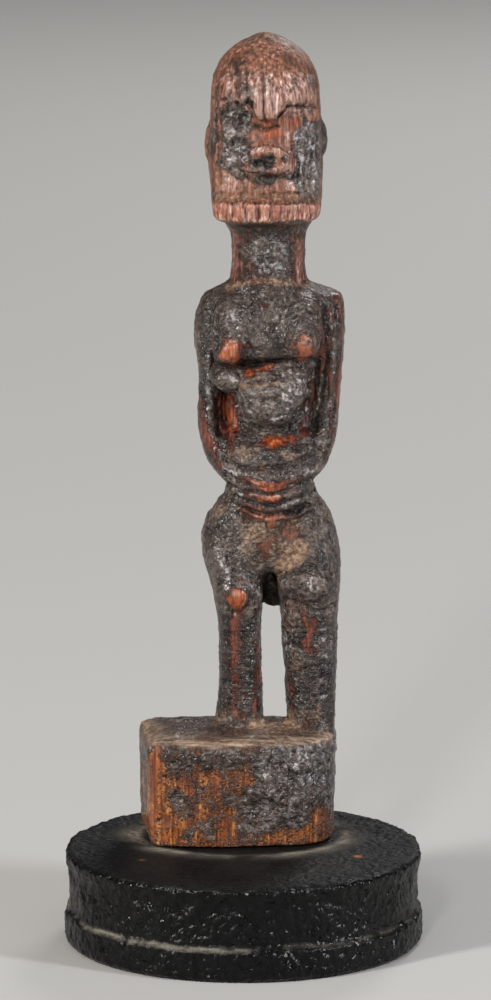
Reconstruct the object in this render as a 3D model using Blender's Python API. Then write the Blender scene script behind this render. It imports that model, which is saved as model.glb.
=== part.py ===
"""Small standing figure carved with its rough block from one piece of wood, on a round black base.

Metres, +Z up. The origin is the middle of the base's underside, and the figure faces -Y.
"""

import math

import bmesh
import bpy
from mathutils import Vector

# Driving sizes of the two pieces
FIGURE_HEIGHT = 0.210  # underside of the carved block to the crown
BASE_RADIUS = 0.0453  # wall of the upper tier of the round base
BASE_HEIGHT = 0.0246
RIM_LIP = 0.0009  # how far the thick top edge stands out past the wall
RIM_DEPTH = 0.0048  # how far down the wall the lip runs out
LEDGE_HEIGHT = 0.0086  # underside to the top of the wider lower tier
LEDGE_OVERHANG = 0.0011  # how far the lower tier stands out
FOOT_ROUNDING = 0.0012  # worn edges of the lower tier
BASE_SIDES = 72
SEAT_GAP = 0.0003  # the figure rests on the base with this much between them
FIGURE_ASIDE = 0.0065  # the figure's axis, to +X of the base's middle
FIGURE_SETBACK = 0.0135  # the figure's axis, behind the base's middle

# The carving is proportioned in 210 parts of the figure's height, each about a millimetre
PART = FIGURE_HEIGHT / 210

# Rings up a trunk: height, middle in X, half width, front, back, squareness
TORSO = [
    (70.5, 0.9, 14.5, -7.0, 7.6, 2.2),
    (73.5, 0.9, 17.2, -8.6, 10.0, 2.3),
    (77.5, 0.4, 17.9, -9.2, 10.8, 2.3),
    (82.5, 0.2, 16.8, -9.6, 11.2, 2.2),
    (86.5, 0.4, 14.8, -9.4, 10.6, 2.2),
    (89.5, 0.7, 12.6, -9.2, 9.4, 2.2),
    (93.0, 0.6, 11.2, -9.8, 8.6, 2.3),
    (99.0, 0.4, 11.0, -9.8, 8.4, 2.4),
    (107.0, 0.3, 10.8, -8.2, 8.4, 2.4),
    (116.0, 0.3, 11.4, -8.0, 8.8, 2.4),
    (124.0, 0.5, 13.0, -8.0, 9.4, 2.4),
    (131.0, 0.6, 15.6, -8.6, 10.0, 2.5),
    (137.5, 0.7, 18.2, -9.2, 10.2, 2.7),
    (141.0, 0.9, 18.7, -9.2, 9.8, 2.8),
    (142.8, 1.3, 17.0, -8.8, 9.2, 2.6),
    (143.9, 1.0, 14.0, -8.6, 8.6, 2.3),
    (145.2, 0.5, 11.2, -8.4, 8.0, 2.1),
]
ARM_WEB = [
    (98.0, 0.4, 11.4, -3.2, 6.4, 3.0),
    (103.0, 0.3, 14.6, -2.2, 6.8, 3.0),
    (112.0, 0.2, 15.8, -1.8, 7.0, 3.0),
    (126.0, 0.3, 16.2, -2.0, 7.4, 3.0),
    (138.0, 0.6, 17.0, -3.6, 7.6, 3.0),
]
CHEST = [
    (126.4, -0.4, 12.6, -11.0, 4.0, 3.0),
    (127.4, -0.4, 13.5, -13.0, 4.0, 3.0),
    (131.0, -0.2, 13.9, -13.4, 4.0, 2.8),
    (136.0, -0.1, 14.2, -12.8, 4.0, 2.6),
    (140.5, 0.0, 13.6, -11.2, 4.0, 2.5),
    (143.4, 0.0, 10.4, -8.6, 4.0, 2.3),
]
NAVEL = [
    (109.6, 0.2, 3.6, -12.2, -4.0, 2.4),
    (110.8, 0.2, 5.6, -14.8, -4.0, 2.5),
    (114.0, 0.3, 7.6, -16.4, -4.0, 2.6),
    (118.0, 0.3, 9.0, -16.8, -4.0, 2.7),
    (121.4, 0.3, 9.4, -16.4, -4.0, 2.7),
    (122.6, 0.4, 9.2, -14.6, -4.0, 2.7),
    (125.0, 1.4, 9.0, -10.6, -4.0, 2.5),
    (127.5, 1.6, 8.6, -9.2, -4.0, 2.5),
]
BELLY = [
    (86.0, 0.5, 5.4, -10.2, 2.0, 2.2),
    (89.0, 0.5, 7.2, -12.2, 2.0, 2.3),
    (92.0, 0.5, 9.0, -13.2, 2.0, 2.4),
    (96.0, 0.5, 11.0, -14.0, 2.0, 2.5),
    (100.0, 0.4, 12.2, -14.2, 2.0, 2.5),
    (103.0, 0.3, 12.6, -13.8, 2.0, 2.5),
    (105.2, 0.2, 12.0, -11.6, 2.0, 2.4),
    (107.4, 0.2, 11.0, -9.0, 2.0, 2.4),
]
THIGH_WEB = [
    (59.6, 1.5, 2.2, 3.0, 6.4, 2.2),
    (62.4, 1.3, 3.8, 1.6, 7.4, 2.2),
    (69.0, 1.0, 6.0, -1.0, 9.2, 2.2),
    (76.0, 1.0, 8.0, -3.0, 9.8, 2.2),
]
NECK = [
    (142.5, 0.4, 12.6, -10.8, 9.6, 2.0),
    (144.4, 0.3, 11.4, -10.8, 9.4, 2.0),
    (146.2, 0.2, 10.0, -10.2, 9.0, 2.0),
    (150.0, 0.2, 9.6, -10.0, 8.8, 2.0),
    (155.0, 0.1, 9.6, -10.0, 8.8, 2.0),
    (158.5, 0.0, 9.9, -10.4, 9.0, 2.0),
    (161.2, -0.2, 11.6, -12.0, 10.2, 2.1),
    (164.6, -0.3, 12.4, -13.0, 11.0, 2.2),
]
HEAD = [
    (161.9, -0.6, 12.0, -15.4, 11.4, 3.0),
    (162.7, -0.5, 13.5, -17.0, 13.0, 3.2),
    (165.0, -0.5, 14.0, -17.6, 13.8, 3.2),
    (167.4, -0.6, 14.1, -17.5, 14.2, 3.2),
    (168.6, -0.6, 14.1, -16.6, 14.4, 2.9),
    (176.0, -0.8, 14.6, -16.4, 15.6, 2.5),
    (184.0, -1.0, 14.3, -16.6, 16.4, 2.4),
    (191.0, -1.0, 14.1, -17.2, 16.6, 2.4),
    (195.4, -0.9, 13.9, -16.8, 16.2, 2.3),
    (198.6, -0.9, 13.3, -15.4, 15.2, 2.2),
    (201.8, -0.8, 12.0, -13.2, 13.4, 2.1),
    (204.8, -0.7, 9.8, -10.4, 11.0, 2.0),
    (207.4, -0.7, 6.6, -7.0, 7.6, 2.0),
    (209.2, -0.7, 3.2, -3.6, 4.0, 2.0),
    (210.0, -0.7, 0.9, -1.1, 1.3, 2.0),
]
FACE = [
    (165.0, -0.5, 13.6, -15.8, 4.0, 3.0),
    (168.2, -0.6, 13.8, -15.4, 4.0, 3.0),
    (169.8, -0.6, 14.0, -14.0, 4.0, 2.9),
    (172.5, -0.7, 14.2, -13.2, 4.0, 2.8),
    (178.0, -0.8, 14.3, -13.8, 4.0, 2.7),
    (184.0, -0.9, 14.0, -13.8, 4.0, 2.6),
    (190.0, -1.0, 13.9, -12.8, 4.0, 2.6),
    (197.0, -1.0, 12.9, -10.6, 4.0, 2.4),
]
LEFT_LEG = [
    (22.0, -7.4, 7.0, -7.4, 8.6, 2.4),
    (28.4, -7.5, 6.9, -7.4, 8.6, 2.4),
    (31.0, -7.4, 6.1, -6.6, 8.2, 2.4),
    (38.5, -7.3, 5.8, -6.4, 8.4, 2.5),
    (46.0, -7.2, 5.6, -6.8, 8.8, 2.4),
    (54.0, -7.4, 5.5, -7.6, 8.0, 2.3),
    (59.0, -7.6, 5.8, -8.6, 7.4, 2.3),
    (64.5, -7.8, 6.6, -9.4, 7.8, 2.3),
    (70.0, -8.3, 7.9, -9.0, 10.4, 2.3),
    (74.0, -8.7, 8.5, -8.8, 12.8, 2.3),
    (79.0, -8.8, 8.7, -8.4, 14.2, 2.3),
    (84.0, -7.8, 8.2, -7.8, 13.4, 2.2),
    (89.0, -6.0, 6.4, -6.0, 10.2, 2.1),
]
RIGHT_LEG = [
    (22.0, 10.6, 6.2, -8.0, 8.0, 2.4),
    (27.6, 10.8, 6.5, -8.0, 8.2, 2.4),
    (30.5, 11.2, 6.3, -7.2, 8.0, 2.4),
    (38.5, 11.0, 6.7, -7.0, 8.4, 2.5),
    (46.0, 10.9, 7.0, -7.4, 8.8, 2.4),
    (54.0, 10.7, 7.3, -8.2, 8.2, 2.3),
    (60.0, 10.6, 7.7, -9.4, 7.4, 2.3),
    (66.0, 10.4, 8.2, -10.2, 8.0, 2.3),
    (71.0, 10.1, 8.7, -9.8, 10.8, 2.3),
    (74.5, 9.9, 8.8, -9.2, 12.8, 2.3),
    (79.0, 9.3, 8.7, -8.4, 14.2, 2.3),
    (84.0, 8.4, 8.2, -7.8, 13.4, 2.2),
    (89.0, 7.0, 6.4, -6.0, 10.2, 2.1),
]

# Stations along a limb: its middle, then its half width across and its half height
LEFT_ARM = [
    (-12.0, -0.4, 141.4, 2.6, 4.2),
    (-14.0, -0.6, 138.8, 4.2, 6.0),
    (-15.0, -0.6, 135.0, 4.2, 6.4),
    (-15.2, -0.4, 130.0, 3.9, 6.2),
    (-14.8, 0.0, 121.0, 3.0, 5.8),
    (-15.2, 0.0, 112.0, 3.0, 5.8),
    (-14.4, -1.6, 105.5, 3.2, 5.6),
    (-12.4, -5.0, 100.4, 3.0, 4.6),
    (-9.6, -9.0, 97.2, 2.8, 3.6),
]
RIGHT_ARM = [
    (12.4, -0.4, 141.8, 2.8, 4.2),
    (14.6, -0.6, 139.4, 4.6, 6.0),
    (15.5, -0.6, 135.6, 4.5, 6.6),
    (15.6, -0.4, 130.0, 4.3, 6.4),
    (15.0, 0.0, 121.0, 3.8, 5.8),
    (14.2, 0.0, 112.0, 3.8, 5.8),
    (13.8, -1.6, 105.5, 3.7, 5.6),
    (12.4, -5.0, 101.0, 3.4, 4.6),
    (10.4, -9.0, 98.4, 2.8, 3.6),
]
LEFT_BREAST = [
    (-8.6, -7.0, 141.4, 3.2, 2.6),
    (-9.3, -9.4, 138.6, 4.6, 4.0),
    (-9.8, -11.4, 134.4, 5.2, 4.6),
    (-10.3, -12.8, 130.6, 4.6, 4.2),
    (-10.6, -13.6, 127.8, 3.6, 3.6),
    (-10.6, -13.8, 126.6, 2.6, 2.8),
]
RIGHT_BREAST = [
    (7.4, -7.0, 141.6, 3.4, 2.6),
    (8.1, -9.4, 139.0, 4.8, 4.0),
    (8.4, -11.4, 135.0, 5.4, 4.6),
    (8.6, -12.8, 131.6, 4.8, 4.2),
    (8.6, -13.6, 129.0, 3.8, 3.6),
    (8.6, -13.8, 127.8, 2.8, 2.8),
]

# Round masses: middle, then half sizes in X, Y and Z
MASSES = {
    "crust_lump": ((-10.6, -8.6, 122.4), (4.6, 5.2, 3.4)),
    "left_knee": ((-8.0, -4.6, 65.2), (5.4, 6.0, 6.0)),
    "right_knee": ((10.4, -4.6, 68.2), (7.0, 6.6, 6.8)),
}
HEAD_MASSES = {
    "left_ear": ((-13.8, 2.0, 181.0), (2.6, 3.6, 6.4)),
    "right_ear": ((12.2, 2.0, 182.0), (2.8, 3.6, 5.6)),
    "mouth": ((-1.2, -12.6, 178.6), (6.8, 4.8, 4.3)),
}
HEAD_HOLLOWS = {
    "left_eye": ((-8.4, -14.6, 189.0), (5.2, 3.0, 3.8)),
    "right_eye": ((8.2, -14.4, 189.8), (4.2, 2.0, 2.8)),
    "mouth_opening": ((-1.1, -17.6, 177.6), (3.9, 2.6, 2.5)),
}

# Three bars of fingers meet in a V below the belly: heights at the left, middle and right
FINGER_BARS = {
    "upper_fingers": ((98.6, 96.2, 99.4), 2.5, 0.2),
    "middle_fingers": ((95.2, 92.2, 95.4), 1.8, 0.2),
    "lower_fingers": ((92.2, 89.0, 92.4), 1.6, -0.6),
}
FINGER_REACH = 10.2  # how far the bars run to each side
FINGER_FRONT = -12.8  # middle of the bars at the V
FINGER_SWEEP = 6.0  # how far their ends fall back round the belly
FINGER_DEPTH = 3.4

# Plan of the carved block, round from the front left corner: x, y and the corner's radius
BLOCK_PLAN = [
    (-31.2, -17.4, 2.0),
    (-14.0, -19.8, 24.0),
    (17.6, -15.4, 12.0),
    (17.8, 13.4, 7.0),
    (-34.3, 13.2, 3.0),
]
BLOCK_HEIGHT = 27.8
BLOCK_CROWN = 1.8  # its top rises this much from the front edge to the legs
BLOCK_WEAR = 2.2  # rounding of its top edge
BLOCK_TAPER = 0.9  # its sides draw in this much towards the underside

# The face is cut back under the brow and the nose: outline in X and Z, from the left temple
FACE_OUTLINE = [
    (-20.0, 194.4),
    (-12.9, 193.8),
    (-4.9, 192.6),
    (-3.1, 188.7),
    (2.5, 188.9),
    (5.7, 192.6),
    (12.4, 193.2),
    (20.0, 193.4),
    (20.0, 168.0),
    (-20.0, 168.0),
]
FACE_CUT_BACK = -6.0
TAB = [(-2.0, 89.0), (2.8, 89.0), (1.4, 84.4), (0.5, 83.2), (-0.6, 84.6)]
TAB_FRONT = -11.8
CUT_MARGIN = 8.0  # how far a cutter stands clear of the wood

TRUNK_SIDES = 20
HEAD_SIDES = 26
LEG_SIDES = 16
LIMB_SIDES = 12
BAR_SIDES = 8
MASS_SIDES = 12
LIMB_STEPS = 2  # rings from one station of a limb to the next

WOOD = {"colour": (0.16, 0.06, 0.03, 1.0), "roughness": 0.55}
BLACK_BASE = {"colour": (0.012, 0.011, 0.011, 1.0), "roughness": 0.45}


def clear_scene():
    for obj in list(bpy.data.objects):
        bpy.data.objects.remove(obj)


def finish_of(name, colour, roughness):
    """A Principled material of one colour."""
    made = bpy.data.materials.new(name)
    made.use_nodes = True
    shader = made.node_tree.nodes["Principled BSDF"]
    shader.inputs["Base Color"].default_value = colour
    shader.inputs["Roughness"].default_value = roughness
    shader.inputs["Metallic"].default_value = 0.0
    return made


def object_from(name, mesh_maker):
    """A new object whose mesh comes from the bmesh that mesh_maker fills, its faces outwards."""
    shape = bmesh.new()
    mesh_maker(shape)
    bmesh.ops.recalc_face_normals(shape, faces=shape.faces)
    mesh = bpy.data.meshes.new(name)
    shape.to_mesh(mesh)
    shape.free()
    obj = bpy.data.objects.new(name, mesh)
    bpy.context.scene.collection.objects.link(obj)
    return obj


def between(stations, steps=LIMB_STEPS):
    """The stations with smooth ones added between them, on a Catmull-Rom curve."""
    found = []
    last = len(stations) - 1
    for i in range(last):
        before, here = stations[max(i - 1, 0)], stations[i]
        there, after = stations[i + 1], stations[min(i + 2, last)]
        for step in range(steps):
            t = step / steps
            found.append(
                tuple(
                    0.5
                    * (
                        2 * b
                        + (c - a) * t
                        + (2 * a - 5 * b + 4 * c - d) * t**2
                        + (3 * b - 3 * c + d - a) * t**3
                    )
                    for a, b, c, d in zip(before, here, there, after)
                )
            )
    found.append(stations[last])
    return found


def oval(angle, half_width, half_depth, squareness):
    """A point of a superellipse, which is an ellipse at squareness 2 and nearly a box at 4."""
    power = 2 / squareness
    x = math.copysign(abs(math.cos(angle)) ** power, math.cos(angle)) * half_width
    y = math.copysign(abs(math.sin(angle)) ** power, math.sin(angle)) * half_depth
    return x, y


def skin(shape, rings):
    """Faces between each ring of points and the next, with both ends closed."""
    rows = [[shape.verts.new(point * PART) for point in ring] for ring in rings]
    for lower, upper in zip(rows, rows[1:]):
        for i in range(len(lower)):
            j = (i + 1) % len(lower)
            shape.faces.new((lower[i], lower[j], upper[j], upper[i]))
    shape.faces.new(reversed(rows[0]))
    shape.faces.new(rows[-1])


def trunk(name, stations, sides=TRUNK_SIDES):
    """An upright form through rings of the given widths and depths."""
    rings = []
    for height, middle, half_width, front, back, squareness in stations:
        ring = []
        for i in range(sides):
            angle = 2 * math.pi * (i + 0.5) / sides
            x, y = oval(angle, half_width, (back - front) / 2, squareness)
            ring.append(Vector((middle + x, (front + back) / 2 + y, height)))
        rings.append(ring)
    return object_from(name, lambda shape: skin(shape, rings))


def limb(name, stations, sides=LIMB_SIDES, across_axis=(1, 0, 0)):
    """A form along a bent path and square to it, its first half size along across_axis."""
    path = between(stations)
    rings = []
    for i, (x, y, z, across, deep) in enumerate(path):
        ahead = Vector(path[min(i + 1, len(path) - 1)][:3])
        behind = Vector(path[max(i - 1, 0)][:3])
        along = (ahead - behind).normalized()
        side = Vector(across_axis)
        side = (side - along * along.dot(side)).normalized()
        up = along.cross(side)
        turn = [2 * math.pi * k / sides for k in range(sides)]
        rings.append(
            [
                Vector((x, y, z)) + side * across * math.cos(a) + up * deep * math.sin(a)
                for a in turn
            ]
        )
    return object_from(name, lambda shape: skin(shape, rings))


def mass(name, middle, half_sizes, sides=MASS_SIDES):
    """A ball stretched to the given half sizes."""

    def fill(shape):
        made = bmesh.ops.create_uvsphere(
            shape, u_segments=sides, v_segments=sides * 2 // 3, radius=1.0
        )
        for vertex in made["verts"]:
            x, y, z = (c * h for c, h in zip(vertex.co, half_sizes))
            vertex.co = (Vector(middle) + Vector((x, y, z))) * PART

    return object_from(name, fill)


def finger_bar(name, heights, half_height, proud):
    """A bar that bends round the belly, its ends higher than its middle."""
    left, middle, right = heights
    stations = []
    for share in (-1.0, -0.72, -0.36, 0.0, 0.36, 0.72, 1.0):
        end = left if share < 0 else right
        taper = 1 - 0.35 * abs(share) ** 3
        stations.append(
            (
                share * FINGER_REACH + 0.4,
                FINGER_FRONT + FINGER_SWEEP * abs(share) ** 1.8 - proud,
                middle + (end - middle) * abs(share) ** 1.2,
                FINGER_DEPTH * taper,
                half_height * taper,
            )
        )
    return limb(name, stations, sides=BAR_SIDES, across_axis=(0, 1, 0))


def rounded_outline(corners, steps=5):
    """The corners of a plan, each turned into an arc of its own radius."""
    points = []
    for i, (x, y, radius) in enumerate(corners):
        here = Vector((x, y))
        back = (Vector(corners[i - 1][:2]) - here).normalized()
        ahead = (Vector(corners[(i + 1) % len(corners)][:2]) - here).normalized()
        half = back.angle(ahead) / 2
        start = here + back * radius / math.tan(half)
        end = here + ahead * radius / math.tan(half)
        centre = here + (back + ahead).normalized() * radius / math.sin(half)
        first, last = start - centre, end - centre
        sweep = first.angle_signed(last)
        for step in range(steps + 1):
            turn = -sweep * step / steps
            cos, sin = math.cos(turn), math.sin(turn)
            spoke = Vector((first.x * cos - first.y * sin, first.x * sin + first.y * cos))
            points.append(centre + spoke)
    return points


def carved_block():
    """The block that the legs run into, wider to the left and rounded to the front right."""
    plan = rounded_outline(BLOCK_PLAN)
    middle = sum(plan, Vector((0, 0))) / len(plan)
    rings = []
    profile = [
        (0.0, BLOCK_TAPER + 0.6),
        (0.6, BLOCK_TAPER),
        (BLOCK_HEIGHT * 0.5, BLOCK_TAPER * 0.3),
        (BLOCK_HEIGHT - BLOCK_WEAR, 0.0),
        (BLOCK_HEIGHT - BLOCK_WEAR * 0.3, BLOCK_WEAR * 0.3),
        (BLOCK_HEIGHT, BLOCK_WEAR),
        (BLOCK_HEIGHT + BLOCK_CROWN * 0.8, BLOCK_WEAR + 7.0),
    ]
    for height, inset in profile:
        ring = []
        for point in plan:
            outward = point - middle
            point = middle + outward * (1 - inset / outward.length)
            ring.append(Vector((point.x, point.y, height)))
        rings.append(ring)
    return object_from("block", lambda shape: skin(shape, rings))


def prism(name, outline, front, back):
    """An outline in X and Z, carried along Y from front to back."""
    rings = [[Vector((x, y, z)) for x, z in outline] for y in (front, back)]
    return object_from(name, lambda shape: skin(shape, rings))


def combine(target, tool, operation):
    """Joins the tool to the target, or cuts it away, and keeps the tool as a hidden guide."""
    step = target.modifiers.new(tool.name, "BOOLEAN")
    step.operation = operation
    step.solver = "EXACT"
    step.object = tool
    tool.hide_render = True
    tool.display_type = "WIRE"


def carved_head():
    """The pointed head with its recessed face, block mouth and ears."""
    head = trunk("head", HEAD, HEAD_SIDES)
    front = min(ring[3] for ring in HEAD) - CUT_MARGIN
    combine(head, prism("face_cut", FACE_OUTLINE, front, FACE_CUT_BACK), "DIFFERENCE")
    combine(head, trunk("face", FACE, HEAD_SIDES), "UNION")
    for name, (middle, half_sizes) in HEAD_MASSES.items():
        combine(head, mass(name, middle, half_sizes), "UNION")
    for name, (middle, half_sizes) in HEAD_HOLLOWS.items():
        combine(head, mass(name, middle, half_sizes), "DIFFERENCE")
    return head


def carved_figure():
    """Every carved form of the figure and its block, joined into one piece of wood."""
    figure = trunk("carved_figure", TORSO)
    forms = [
        trunk("arm_web", ARM_WEB),
        trunk("chest", CHEST),
        trunk("navel", NAVEL),
        trunk("belly", BELLY),
        trunk("thigh_web", THIGH_WEB),
        trunk("neck", NECK),
        trunk("left_leg", LEFT_LEG, LEG_SIDES),
        trunk("right_leg", RIGHT_LEG, LEG_SIDES),
        limb("left_arm", LEFT_ARM),
        limb("right_arm", RIGHT_ARM),
        limb("left_breast", LEFT_BREAST),
        limb("right_breast", RIGHT_BREAST),
    ]
    for name, (middle, half_sizes) in MASSES.items():
        forms.append(mass(name, middle, half_sizes))
    for name, (heights, half_height, proud) in FINGER_BARS.items():
        forms.append(finger_bar(name, heights, half_height, proud))
    forms.append(prism("tab", TAB, TAB_FRONT, 0.0))
    forms.append(carved_head())
    forms.append(carved_block())
    for form in forms:
        combine(figure, form, "UNION")
    for obj in bpy.data.objects:
        obj.location = (FIGURE_ASIDE, FIGURE_SETBACK, BASE_HEIGHT + SEAT_GAP)
    return figure


def round_base():
    """The round base: an upper tier with a thick lip on a slightly wider lower tier."""
    lower = BASE_RADIUS + LEDGE_OVERHANG
    rim = BASE_RADIUS + RIM_LIP
    profile = [
        (0.0, BASE_HEIGHT),
        (rim - RIM_LIP * 1.4, BASE_HEIGHT),
        (rim - RIM_LIP * 0.4, BASE_HEIGHT - RIM_LIP * 0.4),
        (rim, BASE_HEIGHT - RIM_LIP * 1.4),
        (rim - RIM_LIP * 0.3, BASE_HEIGHT - RIM_DEPTH * 0.5),
        (BASE_RADIUS, BASE_HEIGHT - RIM_DEPTH),
        (BASE_RADIUS, LEDGE_HEIGHT),
        (lower - LEDGE_OVERHANG * 0.3, LEDGE_HEIGHT - LEDGE_OVERHANG * 0.3),
        (lower, LEDGE_HEIGHT - LEDGE_OVERHANG),
        (lower, FOOT_ROUNDING),
        (lower - FOOT_ROUNDING, 0.0),
        (0.0, 0.0),
    ]

    def turn(shape):
        edge = [shape.verts.new((radius, 0, height)) for radius, height in profile]
        edges = [shape.edges.new(pair) for pair in zip(edge, edge[1:])]
        bmesh.ops.spin(
            shape,
            geom=edge + edges,
            cent=(0, 0, 0),
            axis=(0, 0, 1),
            angle=2 * math.pi,
            steps=BASE_SIDES,
            use_merge=True,
        )
        bmesh.ops.remove_doubles(shape, verts=shape.verts, dist=1e-5)

    return object_from("round_base", turn)


def build():
    clear_scene()
    figure = carved_figure()
    figure.data.materials.append(finish_of("carved_wood", **WOOD))
    figure.data.shade_smooth()
    base = round_base()
    base.data.materials.append(finish_of("black_base", **BLACK_BASE))
    base.data.shade_smooth()
    base.data.set_sharp_from_angle(angle=math.radians(35))


build()
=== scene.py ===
import itertools
import math

import bpy
import numpy as np
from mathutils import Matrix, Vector


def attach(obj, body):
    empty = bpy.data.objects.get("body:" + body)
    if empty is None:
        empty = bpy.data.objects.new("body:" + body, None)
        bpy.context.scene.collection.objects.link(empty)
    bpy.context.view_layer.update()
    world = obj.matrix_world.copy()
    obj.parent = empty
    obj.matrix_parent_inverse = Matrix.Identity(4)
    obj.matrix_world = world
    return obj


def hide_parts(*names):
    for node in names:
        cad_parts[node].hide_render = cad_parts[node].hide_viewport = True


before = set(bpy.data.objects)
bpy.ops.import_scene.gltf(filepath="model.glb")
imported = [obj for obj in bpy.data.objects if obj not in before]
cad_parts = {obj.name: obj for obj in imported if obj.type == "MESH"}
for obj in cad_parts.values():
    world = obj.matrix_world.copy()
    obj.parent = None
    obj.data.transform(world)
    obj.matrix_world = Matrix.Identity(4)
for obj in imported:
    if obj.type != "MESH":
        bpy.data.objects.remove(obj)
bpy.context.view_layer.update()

# The camera stands 1.36 m in front and looks down about ten degrees with a long lens, as the
# photograph does. Tall softboxes stand left and right, a smaller one in front and one behind,
# under an even ceiling light, over a plain pale floor.
eye = Vector((0.00057, -1.360, 0.3662))
look_down = math.radians(10.44)
lens = bpy.data.cameras.new("portrait_lens")
lens.sensor_width = 36
lens.lens = 194.0
camera = bpy.data.objects.new("camera", lens)
camera.location = eye
camera.rotation_euler = (math.pi / 2 - look_down, 0, 0)
bpy.context.scene.collection.objects.link(camera)
bpy.context.scene.camera = camera
bpy.context.scene.view_settings.view_transform = "Standard"


def strip_softbox(name, bearing, reach, size, middle_height, watts, colour):
    """A tall softbox at a bearing in degrees from the camera's side, facing the carving."""
    lamp = bpy.data.lights.new(name, "AREA")
    lamp.shape = "RECTANGLE"
    lamp.size, lamp.size_y = size
    lamp.energy = watts
    lamp.color = colour
    holder = bpy.data.objects.new(name, lamp)
    turn = math.radians(bearing)
    chest = Vector((0.005, 0.01, 0.13))
    holder.location = (math.sin(turn) * reach, -math.cos(turn) * reach, middle_height)
    holder.rotation_euler = (chest - holder.location).to_track_quat("-Z", "Y").to_euler()
    bpy.context.scene.collection.objects.link(holder)


strip_softbox("left_softbox", -52, 2.5, (0.26, 0.90), 1.05, 66, (1.0, 0.97, 0.94))
strip_softbox("right_softbox", 62, 2.5, (0.26, 0.90), 0.92, 54, (0.93, 0.96, 1.0))
strip_softbox("front_softbox", -12, 2.6, (0.24, 0.50), 1.45, 19, (1.0, 0.98, 0.96))
strip_softbox("back_softbox", 160, 2.4, (0.80, 0.80), 1.60, 20, (1.0, 1.0, 1.0))
ceiling = bpy.data.lights.new("ceiling_light", "SUN")
ceiling.angle = math.radians(60)
ceiling.energy = 0.6
holder = bpy.data.objects.new("ceiling_light", ceiling)
holder.location = (0, 0, 2)
holder.rotation_euler = (math.radians(18), 0, 0)
bpy.context.scene.collection.objects.link(holder)

sky = bpy.data.worlds.new("studio_air")
sky.use_nodes = True
sky.node_tree.nodes["Background"].inputs["Color"].default_value = (0.80, 0.82, 0.85, 1)
sky.node_tree.nodes["Background"].inputs["Strength"].default_value = 0.11
bpy.context.scene.world = sky

bpy.ops.object.select_all(action="DESELECT")
bpy.ops.mesh.primitive_plane_add(size=8, location=(0, 0, 0))
floor = bpy.context.object
floor.name = "floor"


def linear(hex_colour):
    """An sRGB hex colour as the linear colour that the shaders use."""
    parts = [int(hex_colour[i : i + 2], 16) / 255 for i in (1, 3, 5)]
    return [p / 12.92 if p <= 0.04045 else ((p + 0.055) / 1.055) ** 2.4 for p in parts] + [1.0]


def add_node(tree, kind, sockets=None, **settings):
    """Adds a node with its settings, and fills or links its sockets by name or number."""
    made = tree.nodes.new(kind)
    for key, value in settings.items():
        setattr(made, key, value)
    for key, value in (sockets or {}).items():
        if isinstance(value, bpy.types.NodeSocket):
            tree.links.new(value, made.inputs[key])
        else:
            made.inputs[key].default_value = value
    return made


def new_finish(name):
    """An empty material with its shader, and the node tree to build it in."""
    made = bpy.data.materials.new(name)
    made.use_nodes = True
    return made, made.node_tree, made.node_tree.nodes["Principled BSDF"]


# Matt painted board, rolled on, so it has no grain
board, tree, shader = new_finish("pale_board")
shader.inputs["Base Color"].default_value = linear("#bfbdb9")
shader.inputs["Roughness"].default_value = 0.85
floor.data.materials.append(board)


# The round base is a wooden disc in two low steps under a thick black pitch-like coat, brushed
# and dabbed on, so that it lies in lumps on the wall and runs smoother over the top. Dust has
# settled in a ring round the carving's block, and a pale line along the ledge is partly dust and
# partly a painted highlight.
base_height = 24.6
rim_radius = 46.2
wall_radius = 45.3
ledge_height = 8.6
foot_radius = 46.4
rings_apart = 0.62
around = 460

outline = [(0.0, base_height)]
corners = [
    (rim_radius - 1.5, base_height),
    (rim_radius - 0.5, base_height - 0.35),
    (rim_radius, base_height - 1.4),
    (rim_radius - 0.2, base_height - 2.6),
    (wall_radius, base_height - 4.8),
    (wall_radius, ledge_height + 0.7),
    (wall_radius + 0.3, ledge_height + 0.1),
    (foot_radius - 0.3, ledge_height - 0.2),
    (foot_radius, ledge_height - 0.9),
    (foot_radius, 1.3),
    (foot_radius - 1.2, 0.0),
]
for corner in corners:
    last = outline[-1]
    span = math.dist(last, corner)
    steps = max(1, round(span / rings_apart))
    for step in range(1, steps + 1):
        share = step / steps
        outline.append(
            (last[0] + (corner[0] - last[0]) * share, last[1] + (corner[1] - last[1]) * share)
        )
outline += [(foot_radius * share, 0.0) for share in (0.8, 0.55, 0.3)] + [(0.0, 0.0)]
bpy.ops.object.select_all(action="DESELECT")
bpy.ops.mesh.primitive_plane_add(size=0.01)
base = bpy.context.object
base.name = "black_round_base"
base.data.clear_geometry()
base.data.from_pydata(
    [(radius / 1000, 0, height / 1000) for radius, height in outline],
    [(i, i + 1) for i in range(len(outline) - 1)],
    [],
)
bpy.ops.object.mode_set(mode="EDIT")
bpy.ops.mesh.select_all(action="SELECT")
bpy.ops.mesh.spin(steps=around, angle=2 * math.pi, center=(0, 0, 0), axis=(0, 0, 1))
bpy.ops.mesh.select_all(action="SELECT")
bpy.ops.mesh.remove_doubles(threshold=0.00002)
bpy.ops.mesh.select_all(action="SELECT")
bpy.ops.mesh.normals_make_consistent(inside=False)
bpy.ops.object.mode_set(mode="OBJECT")
bpy.ops.object.shade_smooth()


def corner_places(piece):
    """The piece's points in millimetres, one row each."""
    flat = np.empty(len(piece.data.vertices) * 3)
    piece.data.vertices.foreach_get("co", flat)
    return flat.reshape(-1, 3) * 1000


def corner_normals(piece):
    flat = np.empty(len(piece.data.vertices) * 3)
    piece.data.vertices.foreach_get("normal", flat)
    return flat.reshape(-1, 3)


def put_back(piece, places):
    piece.data.vertices.foreach_set("co", (places / 1000).ravel())
    piece.data.update()


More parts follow.
